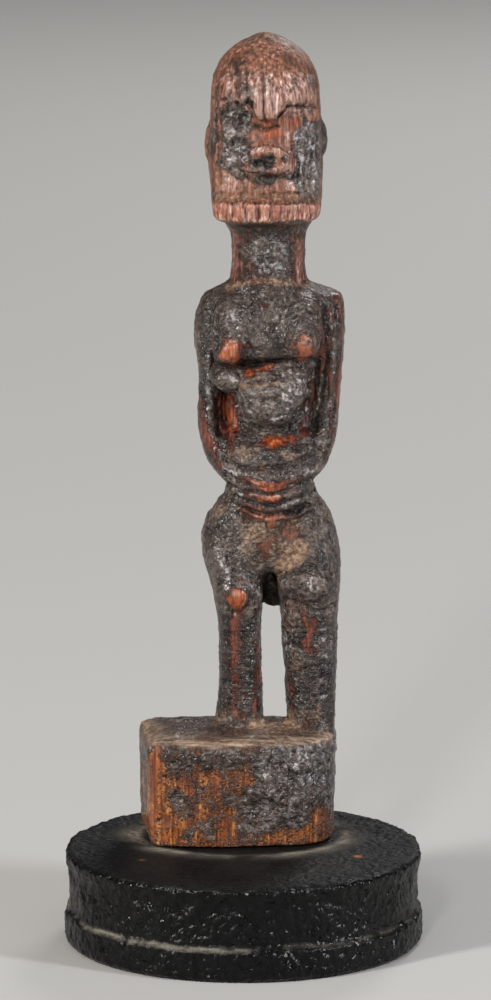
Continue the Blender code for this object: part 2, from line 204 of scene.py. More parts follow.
def cell_value(cell, seed):
    """A steady number from 0 to 1 for each cell of a grid."""
    mixed = (cell[:, 0] * 73856093) ^ (cell[:, 1] * 19349663) ^ (cell[:, 2] * 83492791)
    mixed = (mixed ^ (seed * 15485863)) & 0x7FFFFFFF
    mixed = ((mixed ^ (mixed >> 13)) * 1274126177) & 0x7FFFFFFF
    return ((mixed ^ (mixed >> 15)) & 0xFFFF) / 0xFFFF


def soft_noise(spots, seed):
    """Smooth noise from -1 to 1 over points given in cells."""
    corner = np.floor(spots).astype(np.int64)
    share = spots - corner
    share = share**3 * (share * (share * 6 - 15) + 10)
    total = np.zeros(len(spots))
    for step in itertools.product((0, 1), repeat=3):
        weight = np.prod(np.where(step, share, 1 - share), axis=1)
        total += weight * cell_value(corner + step, seed)
    return total * 2 - 1


def lumps(places, size, seed, octaves=3, stretch=(1, 1, 1)):
    """Soft noise from about -1 to 1, with lumps of the given size in millimetres."""
    spots = places / (np.array(stretch) * size)
    total = np.zeros(len(spots))
    for octave in range(octaves):
        total += soft_noise(spots * 2**octave + 17.3 * octave, seed + octave) / 2**octave
    return total


def pebbles(places, size, seed):
    """Rounded cells: 1 in the middle of each and 0 in the seams between them."""
    spots = places / size
    corner = np.floor(spots).astype(np.int64)
    first = np.full(len(spots), 9.0)
    second = first.copy()
    for step in itertools.product((-1, 0, 1), repeat=3):
        cell = corner + step
        middle = cell + np.stack([cell_value(cell, seed + k) for k in (1, 2, 3)], axis=1)
        gap = np.sqrt(((spots - middle) ** 2).sum(axis=1))
        second = np.minimum(second, np.maximum(first, gap))
        first = np.minimum(first, gap)
    return np.clip((second - first) * 1.6, 0, 1)


def smooth_step(values, low, high):
    """0 below low, 1 above high and an even S between."""
    share = np.clip((values - low) / (high - low), 0, 1)
    return share * share * (3 - 2 * share)


def store(piece, name, values):
    layer = piece.data.attributes.new(name, "FLOAT", "POINT")
    layer.data.foreach_set("value", np.clip(values, 0, 1).astype(np.float32))


places = corner_places(base)
facing = corner_normals(base)
radius = np.hypot(places[:, 0], places[:, 1])
height = places[:, 2]
on_top = smooth_step(height, base_height - 1.0, base_height - 0.2)
below = smooth_step(height, 0.3, 1.6)
wall = (1 - on_top) * below
rim_gap = ((radius - rim_radius + 0.8) / 1.4) ** 2 + ((height - base_height + 0.8) / 1.6) ** 2
rim = np.exp(-rim_gap)
coat = 0.26 * lumps(places, 3.4, 3) + 0.20 * (pebbles(places, 2.1, 7) - 0.5)
coat += 0.13 * lumps(places, 1.1, 5, 2)
sag = 0.30 * lumps(places, 11.0, 1, 2)
ledge = np.exp(-(((height - ledge_height) / 1.1) ** 2)) * wall
wander = 0.5 * lumps(places, 7.0, 9, 2)
top_pits = 0.10 * lumps(places, 5.0, 22) + 0.05 * lumps(places, 1.2, 41, 2)
clear_seat = 1 - smooth_step(radius, 30.0, 36.0)
relief = wall * (coat + sag) + rim * 0.30 * lumps(places, 1.8, 8, 2) + on_top * top_pits
relief = relief - 0.12 * on_top
relief *= 1 - clear_seat * on_top * 0.75
places = places + facing * relief[:, None]
places[:, 2] += ledge * wander
places[:, 2] = np.maximum(places[:, 2], 0.0)
put_back(base, places)

seat = np.array((-0.5, 11.0))
ring_wide, ring_deep = 27.5, 23.0
ring_reach = np.hypot((places[:, 0] - seat[0]) / ring_wide, (places[:, 1] - seat[1]) / ring_deep)
ring = np.exp(-(((ring_reach - 1.0) / 0.055) ** 2))
ring += 0.45 * np.exp(-(((ring_reach - 1.08) / 0.10) ** 2))
ring *= on_top * (0.60 + 0.5 * lumps(places, 6.0, 66, 2))
# The pale line along the ledge: settled dust, with a painted highlight along the step's edge
ledge_gap = (places[:, 2] - ledge_height - 0.2 - wander * ledge) / 0.36
left_front = smooth_step(-places[:, 0], -20.0, 25.0)
ledge_dust_and_highlight = np.exp(-(ledge_gap**2)) * (1 - on_top) * (0.30 + 0.70 * left_front)
ledge_dust_and_highlight *= smooth_step(lumps(places, 4.0, 125, 3), -0.7, 0.3)
top_dust = on_top * 0.03 * smooth_step(lumps(places, 12.0, 15, 2), -0.6, 0.9)
store(base, "dust", ring + ledge_dust_and_highlight + top_dust)
store(base, "top", on_top)
# Two chips in the coat show the wood, one of them faintly
chip = np.zeros(len(places))
for x, y, size, share in ((29.5, -12.3, 0.9, 1.0), (-26.0, -16.0, 0.5, 0.4)):
    gap = (places[:, 0] - x) ** 2 + ((places[:, 1] - y) * 0.8) ** 2
    chip += share * np.exp(-gap / size) * on_top
store(base, "chip", chip)

# Black pitch and smoke coat over wood: nearly black, satin where it has been handled, matt
# and greyer where dust clings
pitch, tree, shader = new_finish("black_pitch_coat")
here = add_node(tree, "ShaderNodeTexCoord").outputs["Object"]


def layer(name):
    return add_node(tree, "ShaderNodeAttribute", attribute_name=name).outputs["Fac"]


def ramp(factor, *stops):
    """A colour ramp through hex colours at the given positions."""
    made = add_node(tree, "ShaderNodeValToRGB", {"Fac": factor})
    elements = made.color_ramp.elements
    while len(elements) < len(stops):
        elements.new(0.5)
    for element, (position, colour) in zip(elements, stops):
        element.position = position
        element.color = linear(colour)
    return made.outputs["Color"]


def blend(share, under, over):
    return add_node(
        tree, "ShaderNodeMix", {0: share, 6: under, 7: over}, data_type="RGBA"
    ).outputs[2]


def sum_of(operation, *values, clamp=False):
    """A Math node's result, from sockets or numbers."""
    return add_node(
        tree, "ShaderNodeMath", dict(enumerate(values)), operation=operation, use_clamp=clamp
    ).outputs[0]


def between(value, low, high, to_low=0.0, to_high=1.0, how="SMOOTHSTEP"):
    """A value from low to high, turned to the range from to_low to to_high."""
    return add_node(
        tree,
        "ShaderNodeMapRange",
        {"Value": value, "From Min": low, "From Max": high, "To Min": to_low, "To Max": to_high},
        interpolation_type=how,
    ).outputs["Result"]


def mottle(where, size, detail=4.0, roughness=0.6, swirl=0.0):
    """Noise whose spots are about the given size in millimetres, swirled for a wrinkled coat."""
    return add_node(
        tree,
        "ShaderNodeTexNoise",
        {
            "Vector": where,
            "Scale": 1000.0 / size,
            "Detail": detail,
            "Roughness": roughness,
            "Distortion": swirl,
        },
    ).outputs["Fac"]


# Dabs of coat 1.8 mm across, grit of 0.7 mm, drawn coarser than it is, and patches of 6 mm
dabs = mottle(here, 1.786, 1.0, 0.5, 0.2)
grit = mottle(here, 0.667, 2.0, 0.6)
broad = mottle(here, 6.25, 4.0, 0.55)
black = ramp(dabs, (0.38, "#030303"), (0.66, "#0c0b0c"))
dusty_edge = between(grit, 0.3, 0.7, -0.3, 0.3, "LINEAR")
dust_cover = sum_of("MULTIPLY_ADD", layer("dust"), dusty_edge, layer("dust"), clamp=True)
# The dust colour also paints the pale highlight along the ledge
colour = blend(dust_cover, black, linear("#7d766a"))
colour = blend(layer("chip"), colour, linear("#a8623f"))
tree.links.new(colour, shader.inputs["Base Color"])
satin = between(broad, 0.35, 0.65, 0.22, 0.36, "LINEAR")
satin = sum_of("MULTIPLY_ADD", layer("top"), 0.34, satin)
satin = sum_of("MULTIPLY_ADD", dust_cover, 0.5, satin, clamp=True)
tree.links.new(satin, shader.inputs["Roughness"])
fine = add_node(tree, "ShaderNodeBump", {"Height": grit, "Strength": 0.4, "Distance": 0.00012})
coarse = add_node(
    tree,
    "ShaderNodeBump",
    {"Height": dabs, "Strength": 0.85, "Distance": 0.00095, "Normal": fine.outputs[0]},
)
tree.links.new(coarse.outputs[0], shader.inputs["Normal"])
shader.inputs["IOR"].default_value = 1.28
base.data.materials.clear()
base.data.materials.append(pitch)
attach(base, "root")
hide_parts("round_base")


# The carving is one piece of old hardwood, figure and block together, cut with an adze and a
# knife. Offerings and handling have left a thick dark crust on it, rubbed through to orange wood
# where it is touched, with ochre dust in its hollows.
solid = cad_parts["carved_figure"]
carving = bpy.data.objects.new("crusted_wood_carving", solid.data.copy())
bpy.context.scene.collection.objects.link(carving)
bpy.ops.object.select_all(action="DESELECT")
carving.select_set(True)
bpy.context.view_layer.objects.active = carving
bpy.ops.object.mode_set(mode="EDIT")
bpy.ops.mesh.select_all(action="SELECT")
bpy.ops.mesh.remove_doubles(threshold=0.00001)
bpy.ops.object.mode_set(mode="OBJECT")
skin_step = 0.84
remesh = carving.modifiers.new("even_skin", "REMESH")
remesh.mode = "VOXEL"
remesh.voxel_size = skin_step / 1000
remesh.use_smooth_shade = True
bpy.ops.object.modifier_apply(modifier=remesh.name)
soften = carving.modifiers.new("worn_edges", "SMOOTH")
soften.factor = 0.5
soften.iterations = 2
bpy.ops.object.modifier_apply(modifier=soften.name)

# The front gets a skin twice as fine as the hidden sides
faces_front = -0.32
turned = np.empty(len(carving.data.polygons) * 3)
carving.data.polygons.foreach_get("normal", turned)
fine = turned.reshape(-1, 3)[:, 1] < faces_front
bpy.ops.object.mode_set(mode="EDIT")
bpy.ops.mesh.select_all(action="DESELECT")
bpy.ops.mesh.select_mode(type="FACE")
bpy.ops.object.mode_set(mode="OBJECT")
carving.data.polygons.foreach_set("select", fine)
bpy.ops.object.mode_set(mode="EDIT")
bpy.ops.mesh.subdivide(number_cuts=1)
bpy.ops.object.mode_set(mode="OBJECT")
carving.data.polygons.foreach_set("use_smooth", np.ones(len(carving.data.polygons), dtype=bool))

# Figure millimetres: X and Y from its axis, Z from the block's underside. The carved detail on
# the front is placed on the upright plane through the axis, as it is seen from the camera, and
# left and right are the viewer's.
axis = np.array((6.5, 13.5, 24.9))
lens_at = np.array(eye) * 1000 - axis
edges = np.empty(len(carving.data.edges) * 2, dtype=np.int64)
carving.data.edges.foreach_get("vertices", edges)
edges = edges.reshape(-1, 2)
neighbours = np.bincount(edges.ravel())
wood = corner_places(carving) - axis
out = corner_normals(carving)


def seen_from_front(spots):
    stretch = lens_at[1] / (lens_at[1] - spots[:, 1])
    across = lens_at[0] + (spots[:, 0] - lens_at[0]) * stretch
    return across, lens_at[2] + (spots[:, 2] - lens_at[2]) * stretch


def eased(values, rounds, share=1.0):
    """Values evened out with their neighbours over the surface, by a share at each point."""
    for _ in range(rounds):
        total = np.bincount(edges[:, 0], values[edges[:, 1]], len(wood))
        total += np.bincount(edges[:, 1], values[edges[:, 0]], len(wood))
        values = values + 0.5 * share * (total / neighbours - values)
    return values


def look():
    """Fresh normals, front places with a carver's unsteady hand, and how far each point faces front."""
    global out, front_x, front_z, front
    put_back(carving, wood + axis)
    out = corner_normals(carving)
    front_x, front_z = seen_from_front(wood)
    front_x = front_x + 0.38 * lumps(wood, 3.2, 21, 2)
    front_z = front_z + 0.38 * lumps(wood, 3.2, 34, 2)
    front = smooth_step(-out[:, 1], -0.15, 0.35)


def section(reach, edge):
    """A stroke's section over its reach from 0 to 1: a round dab, a knife cut or a flat step."""
    if edge == "cut":
        return np.clip(1 - reach, 0, 1) ** 1.3
    if edge == "step":
        return 1 - smooth_step(reach, 0.62, 1.0)
    return np.clip(1 - reach**2, 0, 1) ** 2


def dab(x, z, wide, high, lean=0.0, edge="round"):
    """An oval on the front: 1 at its middle and 0 at its rim, leaning clockwise in degrees."""
    turn = math.radians(lean)
    dx, dz = front_x - x, front_z - z
    across = (dx * math.cos(turn) - dz * math.sin(turn)) / wide
    along = (dx * math.sin(turn) + dz * math.cos(turn)) / high
    return section(np.hypot(across, along), edge) * front


def line(stops, wide, edge="round"):
    """A stroke along a line on the front: 1 on the line and 0 at its width to either side."""
    nearest = np.full(len(wood), 1e9)
    for (x0, z0), (x1, z1) in zip(stops, stops[1:]):
        dx, dz = x1 - x0, z1 - z0
        share = ((front_x - x0) * dx + (front_z - z0) * dz) / (dx * dx + dz * dz)
        share = np.clip(share, 0, 1)
        gap = (front_x - x0 - share * dx) ** 2 + (front_z - z0 - share * dz) ** 2
        nearest = np.minimum(nearest, gap)
    return section(np.sqrt(nearest) / wide, edge) * front


def patch(left, right, low, high, soft=1.5):
    """A soft-edged upright patch on the front."""
    inside = smooth_step(front_x, left - soft, left + soft)
    inside *= 1 - smooth_step(front_x, right - soft, right + soft)
    inside *= smooth_step(front_z, low - soft, low + soft)
    return inside * (1 - smooth_step(front_z, high - soft, high + soft)) * front


def dabs(*rows):
    """The sum of several dabs, each row the dab's height and then its own values."""
    return sum(amount * dab(*shape) for amount, *shape in rows)


def lines(*rows):
    return sum(amount * line(*shape) for amount, *shape in rows)


def patches(*rows):
    return sum(amount * patch(*shape) for amount, *shape in rows)


def pare(where, depth):
    """Cuts the front back to a depth in Y, as far as the stroke covers it and never deeper."""
    wood[:, 1] += where * np.maximum(0, depth - wood[:, 1])


# Rounded joins first: chest and breasts melt into one shelf, lump and navel mass into the trunk,
# knees into the legs, and the nose's root and the mouth block into the face. The web between the
# thighs lies too far back to be touched.
look()
melting = patches(
    (1.0, -11.5, 12.0, 129.5, 142.0, 2.0), (0.8, -14.0, 9.0, 109.0, 121.5, 1.5),
    (0.3, -4.5, 4.5, 190.5, 200.0, 1.2), (0.6, -10.0, 16.0, 56.0, 72.0, 2.0),
    (0.5, -12.0, 12.0, 170.0, 181.0, 1.5),
)
melting = np.clip(melting, 0, 1) * smooth_step(-wood[:, 1], 1.0, 4.5)
for way in range(3):
    wood[:, way] = eased(wood[:, way], 40, melting)
look()

# The nose is a narrow wedge, pared back on both sides to the face and rising into the brow
face_depth = -13.4
pare(line([(-5.0, 191.0), (-4.9, 188.8), (-4.2, 187.0), (-3.0, 185.4)], 1.9, "step"), face_depth)
pare(line([(5.4, 190.0), (4.3, 188.2), (3.1, 186.9), (2.2, 185.4)], 2.0, "step"), face_depth)
pare(dab(-0.6, 184.4, 4.4, 1.2, 0, "step"), face_depth)
for way in range(3):
    wood[:, way] = eased(wood[:, way], 2, patch(-7.0, 7.0, 184.0, 193.0, 1.0))
look()

move = np.zeros(len(wood))
inward = np.zeros(len(wood))

# Forehead: upright ridges of worn grain, broken away over the left eye and ending in a crisp
# ledge over the right one, with two grooves down the nose
for stops, wide, height in (
    ([(-10.3, 200.7), (-10.8, 197.5), (-10.2, 192.3)], 0.95, 0.50),
    ([(-8.8, 201.1), (-9.0, 198.3), (-8.8, 192.2)], 0.75, 0.45),
    ([(-6.8, 200.5), (-6.6, 196.2), (-6.7, 191.8)], 1.00, 0.60),
    ([(-4.9, 200.5), (-4.6, 196.2), (-4.5, 191.8)], 0.90, 0.22),
    ([(-2.9, 199.2), (-2.7, 194.1), (-2.3, 187.6)], 0.85, 0.45),
    ([(0.0, 198.3), (0.2, 193.3), (0.4, 187.2)], 0.80, 0.20),
    ([(1.9, 197.5), (1.6, 189.0)], 0.70, 0.16),
    ([(4.2, 195.1), (4.3, 192.0)], 1.10, 0.20),
    ([(6.0, 196.1), (6.2, 191.2)], 0.75, 0.45),
    ([(7.8, 194.8), (7.9, 191.2)], 0.70, 0.28),
    ([(9.6, 197.1), (9.7, 191.2)], 0.70, 0.45),
    ([(11.3, 196.7), (11.4, 191.0)], 0.65, 0.40),
):
    move += height * line(stops, wide)
move += lines(
    (-0.65, [(-1.4, 200.9), (-1.4, 194.1), (-1.2, 187.4)], 0.65, "cut"),
    (-0.4, [(1.0, 196.0), (1.1, 191.0), (1.2, 187.6)], 0.45, "cut"),
    (-0.5, [(-5.7, 199.0), (-5.6, 193.0)], 0.6, "cut"),
    (-0.6, [(-7.7, 199.6), (-7.8, 195.6), (-8.0, 191.4)], 0.7, "cut"),
)
move += dabs((-0.9, -8.1, 193.4, 1.0, 1.5), (-0.5, -10.9, 192.2, 1.2, 1.0))
torn = 0.55 + 0.55 * lumps(wood, 1.9, 131, 2)
inward += torn * dabs((1.7, -8.0, 188.2, 5.6, 4.4, -12), (1.0, -10.9, 189.8, 2.4, 3.0))
inward += 0.6 * (1 - pebbles(wood, 1.7, 44)) * dab(-8.0, 187.2, 5.4, 4.6)
inward += lines(
    (0.7, [(-3.3, 185.9), (-0.5, 184.9), (2.0, 185.9)], 0.75, "cut"),
    (1.0, [(4.6, 190.2), (5.7, 190.4), (8.1, 190.5), (10.5, 190.5), (12.2, 189.9)], 0.75, "cut"),
)
move += lines(
    (0.7, [(-9.4, 188.0), (-8.4, 189.2), (-6.7, 189.0)], 0.6),
    (0.5, [(-10.8, 185.8), (-8.8, 185.0), (-6.4, 185.6), (-5.2, 186.9)], 0.6),
    (0.35, [(5.6, 189.3), (8.0, 189.5), (11.6, 189.3)], 0.5),
)
move += 0.45 * (pebbles(wood, 1.8, 201) - 0.4) * dab(-8.3, 182.4, 6.4, 8.6)
move += dabs(
    (-0.7, -9.7, 187.2, 0.7, 0.9, 30), (-0.7, -6.3, 187.3, 1.2, 0.6, -20),
    (-0.5, -11.6, 188.4, 0.5, 1.2),
)
# Cheeks: a shiny crust with lumps on the left, a fork of ridges and long streaks on the right
move += dabs(
    (0.8, -7.3, 183.4, 1.7, 1.3), (0.5, -9.9, 182.6, 1.6, 1.6), (0.4, -10.2, 176.9, 1.8, 1.1),
    (-0.5, -9.6, 180.9, 0.8, 1.4), (-0.4, -6.2, 181.6, 1.0, 0.9), (-0.4, -8.6, 178.6, 1.0, 1.2),
)
move += lines(
    (0.5, [(-12.4, 181.6), (-11.9, 179.2), (-11.2, 177.2)], 1.1),
    (0.6, [(7.9, 187.6), (8.6, 185.0), (8.9, 183.0)], 0.7),
    (0.6, [(10.4, 187.4), (9.5, 184.8)], 0.7),
    (0.5, [(9.9, 184.4), (10.6, 181.6)], 0.6),
)
for x, low, high, height in (
    (5.6, 172.0, 183.0, 0.22),
    (7.0, 168.5, 183.0, 0.28),
    (8.6, 169.0, 181.5, 0.34),
    (10.1, 169.0, 181.0, 0.32),
    (11.8, 169.0, 184.5, 0.32),
):
    move += height * line([(x, low), (x - 0.3, (low + high) / 2), (x, high)], 0.7)
    move -= 0.28 * line([(x + 0.8, low), (x + 0.6, high - 1.5)], 0.4, "cut")
# Mouth: a worn oval block with a torn hollow, a curl at its right end, and a furrow below
torn = 0.6 + 0.6 * lumps(wood, 1.7, 151, 2)
inward += 1.5 * torn * dab(-1.4, 176.3, 4.6, 3.3, -6)
inward += dabs((0.7, 0.8, 177.4, 1.3, 1.1), (0.7, -3.0, 175.5, 1.2, 1.4))
inward += 0.5 * (1 - pebbles(wood, 1.5, 44)) * dab(-1.4, 176.3, 4.4, 3.0, -4)
move += lines(
    (0.45, [(-5.7, 179.4), (-3.6, 179.3), (-0.8, 180.0), (2.0, 179.3)], 0.9),
    (0.65, [(2.3, 179.4), (4.6, 177.7), (4.3, 175.7), (2.8, 175.0)], 0.8),
    (0.5, [(-6.7, 175.0), (-5.0, 174.2), (-3.3, 173.8)], 0.7),
    (0.5, [(0.3, 174.2), (2.6, 173.9), (4.9, 174.9)], 0.8),
    (-0.5, [(-4.6, 178.0), (-4.4, 175.6)], 0.5, "cut"),
)
move += dabs(
    (0.6, -5.9, 177.2, 1.3, 2.2), (-0.5, 3.0, 177.0, 0.7, 0.8), (-0.4, -1.9, 179.6, 0.4, 0.7),
    (-0.4, 0.6, 179.7, 0.4, 0.6),
)
broken = smooth_step(lumps(wood, 2.6, 161, 2), -0.7, 0.3)
move -= 0.9 * broken * line(
    [(-12.6, 176.2), (-10.1, 174.2), (-5.3, 172.9), (-0.2, 172.3), (4.3, 172.3), (8.2, 172.4)],
    1.2,
)
move -= 0.5 * (1 - pebbles(wood, 1.8, 61)) * line(
    [(-10.1, 173.6), (-5.3, 172.3), (-0.2, 171.6), (6.3, 171.8)],
    2.2,
)
move -= 0.5 * line([(-13.3, 188.6), (-13.5, 181.0), (-13.1, 176.0)], 0.6, "cut")
move += dabs(
    (0.35, -11.0, 172.2, 2.2, 2.2), (0.3, -5.6, 170.6, 3.0, 1.3), (0.4, 1.6, 170.6, 2.2, 1.2),
)
inward += 0.9 * line([(-3.6, 185.4), (-0.5, 184.7), (2.6, 185.5)], 0.8, "cut")
inward += 0.9 * patch(-15, 14, 166.3, 168.2, 0.9)
inward += 0.3 * dab(-1.2, 167.3, 1.8, 0.8)
# Jaw slab: end grain worn into notches along its top edge
slab_wave = np.sin(front_x * 1.9 + 1.2 * lumps(wood, 4.0, 51, 2))
notches = 0.50 * np.clip(slab_wave, 0, 1) ** 2 + 0.20 * np.sin(front_x * 5.1 + 0.8 * slab_wave)
move -= notches * patch(-15, 14, 161.6, 166.2, 0.8)
move -= 0.35 * line(
    [(-14, 165.9), (-8.6, 166.3), (-0.3, 165.9), (7.2, 166.1), (13.4, 165.7)],
    0.9, "cut",
)

# Chest: one broad shelf with soft folds, cut off straight below, and two pointed breasts
move += dabs(
    (1.5, -9.8, 127.6, 3.1, 4.4), (1.3, 8.9, 129.0, 3.6, 3.8), (0.6, -0.6, 129.4, 5.6, 5.0),
)
inward += 1.4 * line(
    [(-12.4, 123.9), (-9.8, 123.2), (-4.0, 123.5), (0.9, 124.3), (5.8, 125.0), (10.6, 125.4)],
    1.1, "cut",
)
for stops in (
    [(1.0, 136.4), (2.8, 139.1), (6.4, 140.5), (10.5, 139.6), (13.0, 136.4)],
    [(1.7, 133.7), (3.0, 136.9), (6.4, 138.4), (10.0, 137.8), (12.3, 134.6)],
    [(3.7, 131.8), (4.6, 134.6), (6.9, 136.2), (9.6, 135.9), (11.6, 133.2)],
    [(-12.9, 136.4), (-11.8, 138.7), (-8.9, 140.0), (-5.3, 139.6), (-3.0, 137.8)],
    [(-12.5, 134.1), (-11.1, 136.4), (-8.4, 137.8), (-5.7, 136.9), (-4.4, 134.6)],
    [(-6.4, 131.4), (-5.0, 128.8), (-3.2, 126.6)],
    [(-2.4, 134.0), (0.6, 130.8), (3.0, 127.6)],
):
    move -= 0.26 * line(stops, 0.7, "cut")
# Trunk: a lump under the left breast, an ochre slope, and the navel mass under it
inward += dabs((1.0, -1.4, 121.3, 5.6, 2.1, -4), (-0.7, -2.2, 116.7, 5.4, 1.7, 0, "step"))
inward += lines(
    (2.2, [(-8.7, 121.3), (-7.8, 120.3), (-6.8, 119.3)], 0.75, "cut"),
    (0.9, [(-7.6, 110.0), (-4.6, 107.0), (0.2, 106.2), (4.4, 107.0), (8.4, 110.2), (10.2, 114.6)],
     1.0, "cut"),
    (1.8, [(-13.4, 114.4), (-12.8, 110.6), (-13.0, 105.6)], 1.2, "cut"),
)
move += dabs(
    (0.9, -10.6, 119.8, 3.4, 3.0, 30, "step"), (0.4, -9.4, 119.0, 1.6, 1.4),
    (0.5, 6.2, 117.6, 3.6, 6.2, -8), (0.45, 0.4, 112.6, 5.6, 3.6),
)
move += lines(
    (-0.5, [(-10.7, 123.4), (-9.0, 122.6), (-7.4, 121.6)], 0.45, "cut"),
    (-0.7, [(-7.0, 118.6), (-8.7, 116.3), (-8.0, 114.9), (-8.4, 113.8), (-7.1, 112.0)], 0.7, "cut"),
    (-0.4, [(3.0, 121.6), (3.0, 118.6), (2.7, 116.0)], 0.7, "cut"),
    (0.5, [(3.4, 115.9), (4.9, 111.7)], 0.9),
    (-0.3, [(2.6, 114.6), (3.8, 111.6)], 0.5, "cut"),
    (0.35, [(0.9, 109.4), (5.4, 110.6)], 0.7),
    (-0.6, [(1.0, 108.8), (3.6, 108.9), (5.9, 109.9), (7.5, 111.6)], 0.6, "cut"),
    (0.5, [(-10.6, 113.6), (-9.4, 108.6), (-9.0, 104.0)], 1.4),
)
# Arms: a deep cut on each side of the trunk, and a second one that splits the right arm lengthwise
inward += lines(
    (0.9, [(-13.2, 137.0), (-13.4, 130.9), (-14.0, 125.5), (-14.6, 119.1)], 0.9, "cut"),
    (0.9, [(14.9, 127.5), (14.9, 125.5), (14.4, 119.1), (13.2, 112.6), (11.6, 105.4)], 0.75, "cut"),
)
move += lines(
    (0.3, [(16.3, 138.0), (16.5, 125.5), (16.4, 117.0), (15.2, 111.0), (13.9, 105.1)], 1.3),
    (-0.5, [(17.6, 139.0), (17.9, 128.0), (17.7, 118.0), (16.7, 109.0)], 0.6, "cut"),
    (0.25, [(-14.6, 126.0), (-15.6, 119.0), (-15.2, 112.0), (-15.2, 105.0)], 1.4),
)

# Hands: bars of fingers meeting in a V, each cut round with the knife
inward += 0.9 * line(
    [
        (-10.4, 98.6), (-6.9, 97.0), (-3.1, 96.3), (0.4, 96.6), (3.6, 97.2), (7.6, 98.3),
        (10.9, 100.0), (13.4, 101.8),
    ],
    1.0, "cut",
)
move += 0.6 * line(
    [
        (-11.8, 97.6), (-9.8, 95.9), (-6.9, 94.4), (-3.1, 93.3), (0.3, 92.0), (1.8, 91.7),
        (4.2, 92.4), (8.1, 94.4), (12.4, 96.4),
    ],
    1.3,
)
for stops in (
    [(-10.3, 92.5), (-7.4, 91.1), (-3.5, 90.2), (1.3, 89.7), (5.2, 90.8), (8.5, 92.5), (12.4, 94.2)],
    [(-8.6, 89.3), (-5.0, 87.9), (-1.6, 87.1), (1.3, 86.7), (5.2, 87.8), (9.0, 89.4), (11.9, 90.8)],
    [(-7.4, 87.1), (-3.5, 85.4), (-0.1, 84.6), (2.3, 84.6), (6.6, 85.2), (10.5, 86.8)],
):
    inward += 1.2 * line(stops, 0.7, "cut")
for stops in (
    [(-9.3, 90.7), (-5.5, 89.5), (-1.6, 88.8), (1.3, 88.4), (5.2, 89.4), (9.0, 91.1), (12.2, 92.6)],
    [(-8.1, 88.3), (-4.5, 86.8), (-1.1, 85.9), (1.8, 85.6), (6.1, 86.6), (10.0, 88.2), (11.9, 89.3)],
    [(-6.7, 86.0), (-3.1, 84.2), (0.3, 83.4), (3.7, 83.5), (8.1, 84.6), (11.0, 86.0)],
):
    move += 0.55 * line(stops, 0.9)
inward += lines(
    (1.0, [(-7.6, 84.8), (-3.4, 82.8), (-0.4, 82.2)], 0.8, "cut"),
    (1.0, [(2.9, 82.2), (8.4, 83.2), (11.6, 84.8)], 0.8, "cut"),
)
move += 0.6 * dab(1.0, 82.0, 1.4, 1.7)
move += lines(
    (-0.4, [(-6.4, 82.9), (-3.0, 76.5), (-0.4, 72.4)], 1.2),
    (-0.4, [(7.1, 82.4), (3.7, 76.5), (1.8, 72.0)], 1.2),
    (0.6, [(-13.6, 75.6), (-11.6, 71.0), (-10.6, 66.7), (-10.8, 63.9)], 1.8),
)

# Knees with a thick crust over their tops, a flat worn dot on the left one, and folds below
move += dabs((0.9, 9.8, 65.4, 7.2, 4.8, -10, "step"), (0.5, 12.6, 66.0, 3.4, 4.6))
move += lines(
    (
        -0.8,
        [
            (2.6, 68.3), (5.8, 69.4), (8.3, 70.5), (9.3, 71.5), (10.3, 71.9), (12.3, 70.6),
            (13.8, 68.4),
        ],
        0.65, "cut",
    ),
    (-0.6, [(4.0, 62.2), (7.6, 62.0), (11.2, 59.2), (15.2, 58.8), (17.6, 61.0)], 0.9, "cut"),
)
for stops in (
    [(9.6, 69.2), (11.6, 67.6), (12.6, 65.0), (12.0, 62.4)],
    [(11.4, 69.4), (13.6, 67.0), (14.2, 63.6), (13.2, 60.8)],
    [(8.6, 67.0), (10.4, 65.2), (10.6, 62.4)],
    [(13.8, 79.0), (15.4, 75.4), (15.6, 71.6)],
    [(11.0, 77.6), (13.6, 75.0), (13.8, 72.0)],
):
    move += 0.30 * line(stops, 0.6)
move += dabs((0.35, -8.1, 61.7, 3.0, 3.4), (0.7, -2.8, 63.4, 1.8, 2.6), (0.4, 3.6, 65.0, 1.6, 3.0))
move += lines(
    (-0.6, [(-10.8, 60.2), (-9.4, 58.4), (-7.0, 58.2), (-5.4, 60.2), (-5.0, 63.0)], 0.7, "cut"),
    (0.4, [(-8.4, 57.0), (-8.4, 52.2), (-8.2, 47.3), (-8.6, 41.8)], 1.6),
    (0.4, [(7.9, 61.4), (9.2, 58.8), (10.5, 56.0), (10.8, 50.0)], 1.7),
)
for stops in (
    [(4.3, 43.0), (8.2, 42.8), (12.0, 44.0), (16.9, 45.0)],
    [(3.8, 54.7), (8.1, 54.2)],
    [(4.3, 50.2), (7.2, 49.7)],
    [(-11.4, 53.0), (-8.8, 52.2)],
    [(-6.4, 44.6), (-2.4, 43.8)],
    [(-11.6, 40.4), (-8.0, 39.6)],
    [(6.0, 37.0), (12.0, 36.2), (15.4, 37.4)],
):
    move -= 0.5 * line(stops, 0.7, "cut")

# Block: adze dents, splits from its top edge, worm holes and a raised cake of crust
move += dabs(
    (-0.6, -24.2, 9.4, 3.0, 3.2, 30), (-0.4, -16.5, 16.0, 5.0, 4.0), (-0.4, -6.0, 4.0, 5.0, 4.0),
    (0.8, 6.2, 11.6, 11.0, 11.0, 0), (0.5, 8.2, 18.6, 5.4, 3.2),
)
move += lines(
    (-0.6, [(5.2, 20.4), (5.4, 16.0), (5.0, 11.6)], 0.45, "cut"),
    (-0.5, [(1.0, 22.0), (0.4, 18.8), (-0.4, 15.8)], 0.6, "cut"),
    (-0.4, [(-14.6, 20.6), (-14.8, 16.0)], 0.5, "cut"),
    (-0.4, [(-20.4, 21.0), (-20.2, 16.6)], 0.5, "cut"),
)
worm_holes = (
    (-24.4, 10.2), (-23.0, 8.6), (-25.6, 8.0), (-20.6, 4.0), (-11.4, 8.6), (-29.0, 3.0),
    (-17.0, 11.4), (-27.2, 14.6),
)
for x, z in worm_holes:
    move -= 0.9 * dab(x, z, 0.5, 0.6)
move += 0.6 * dab(-14.9, -2.2, 1.9, 1.1, 0, "step")

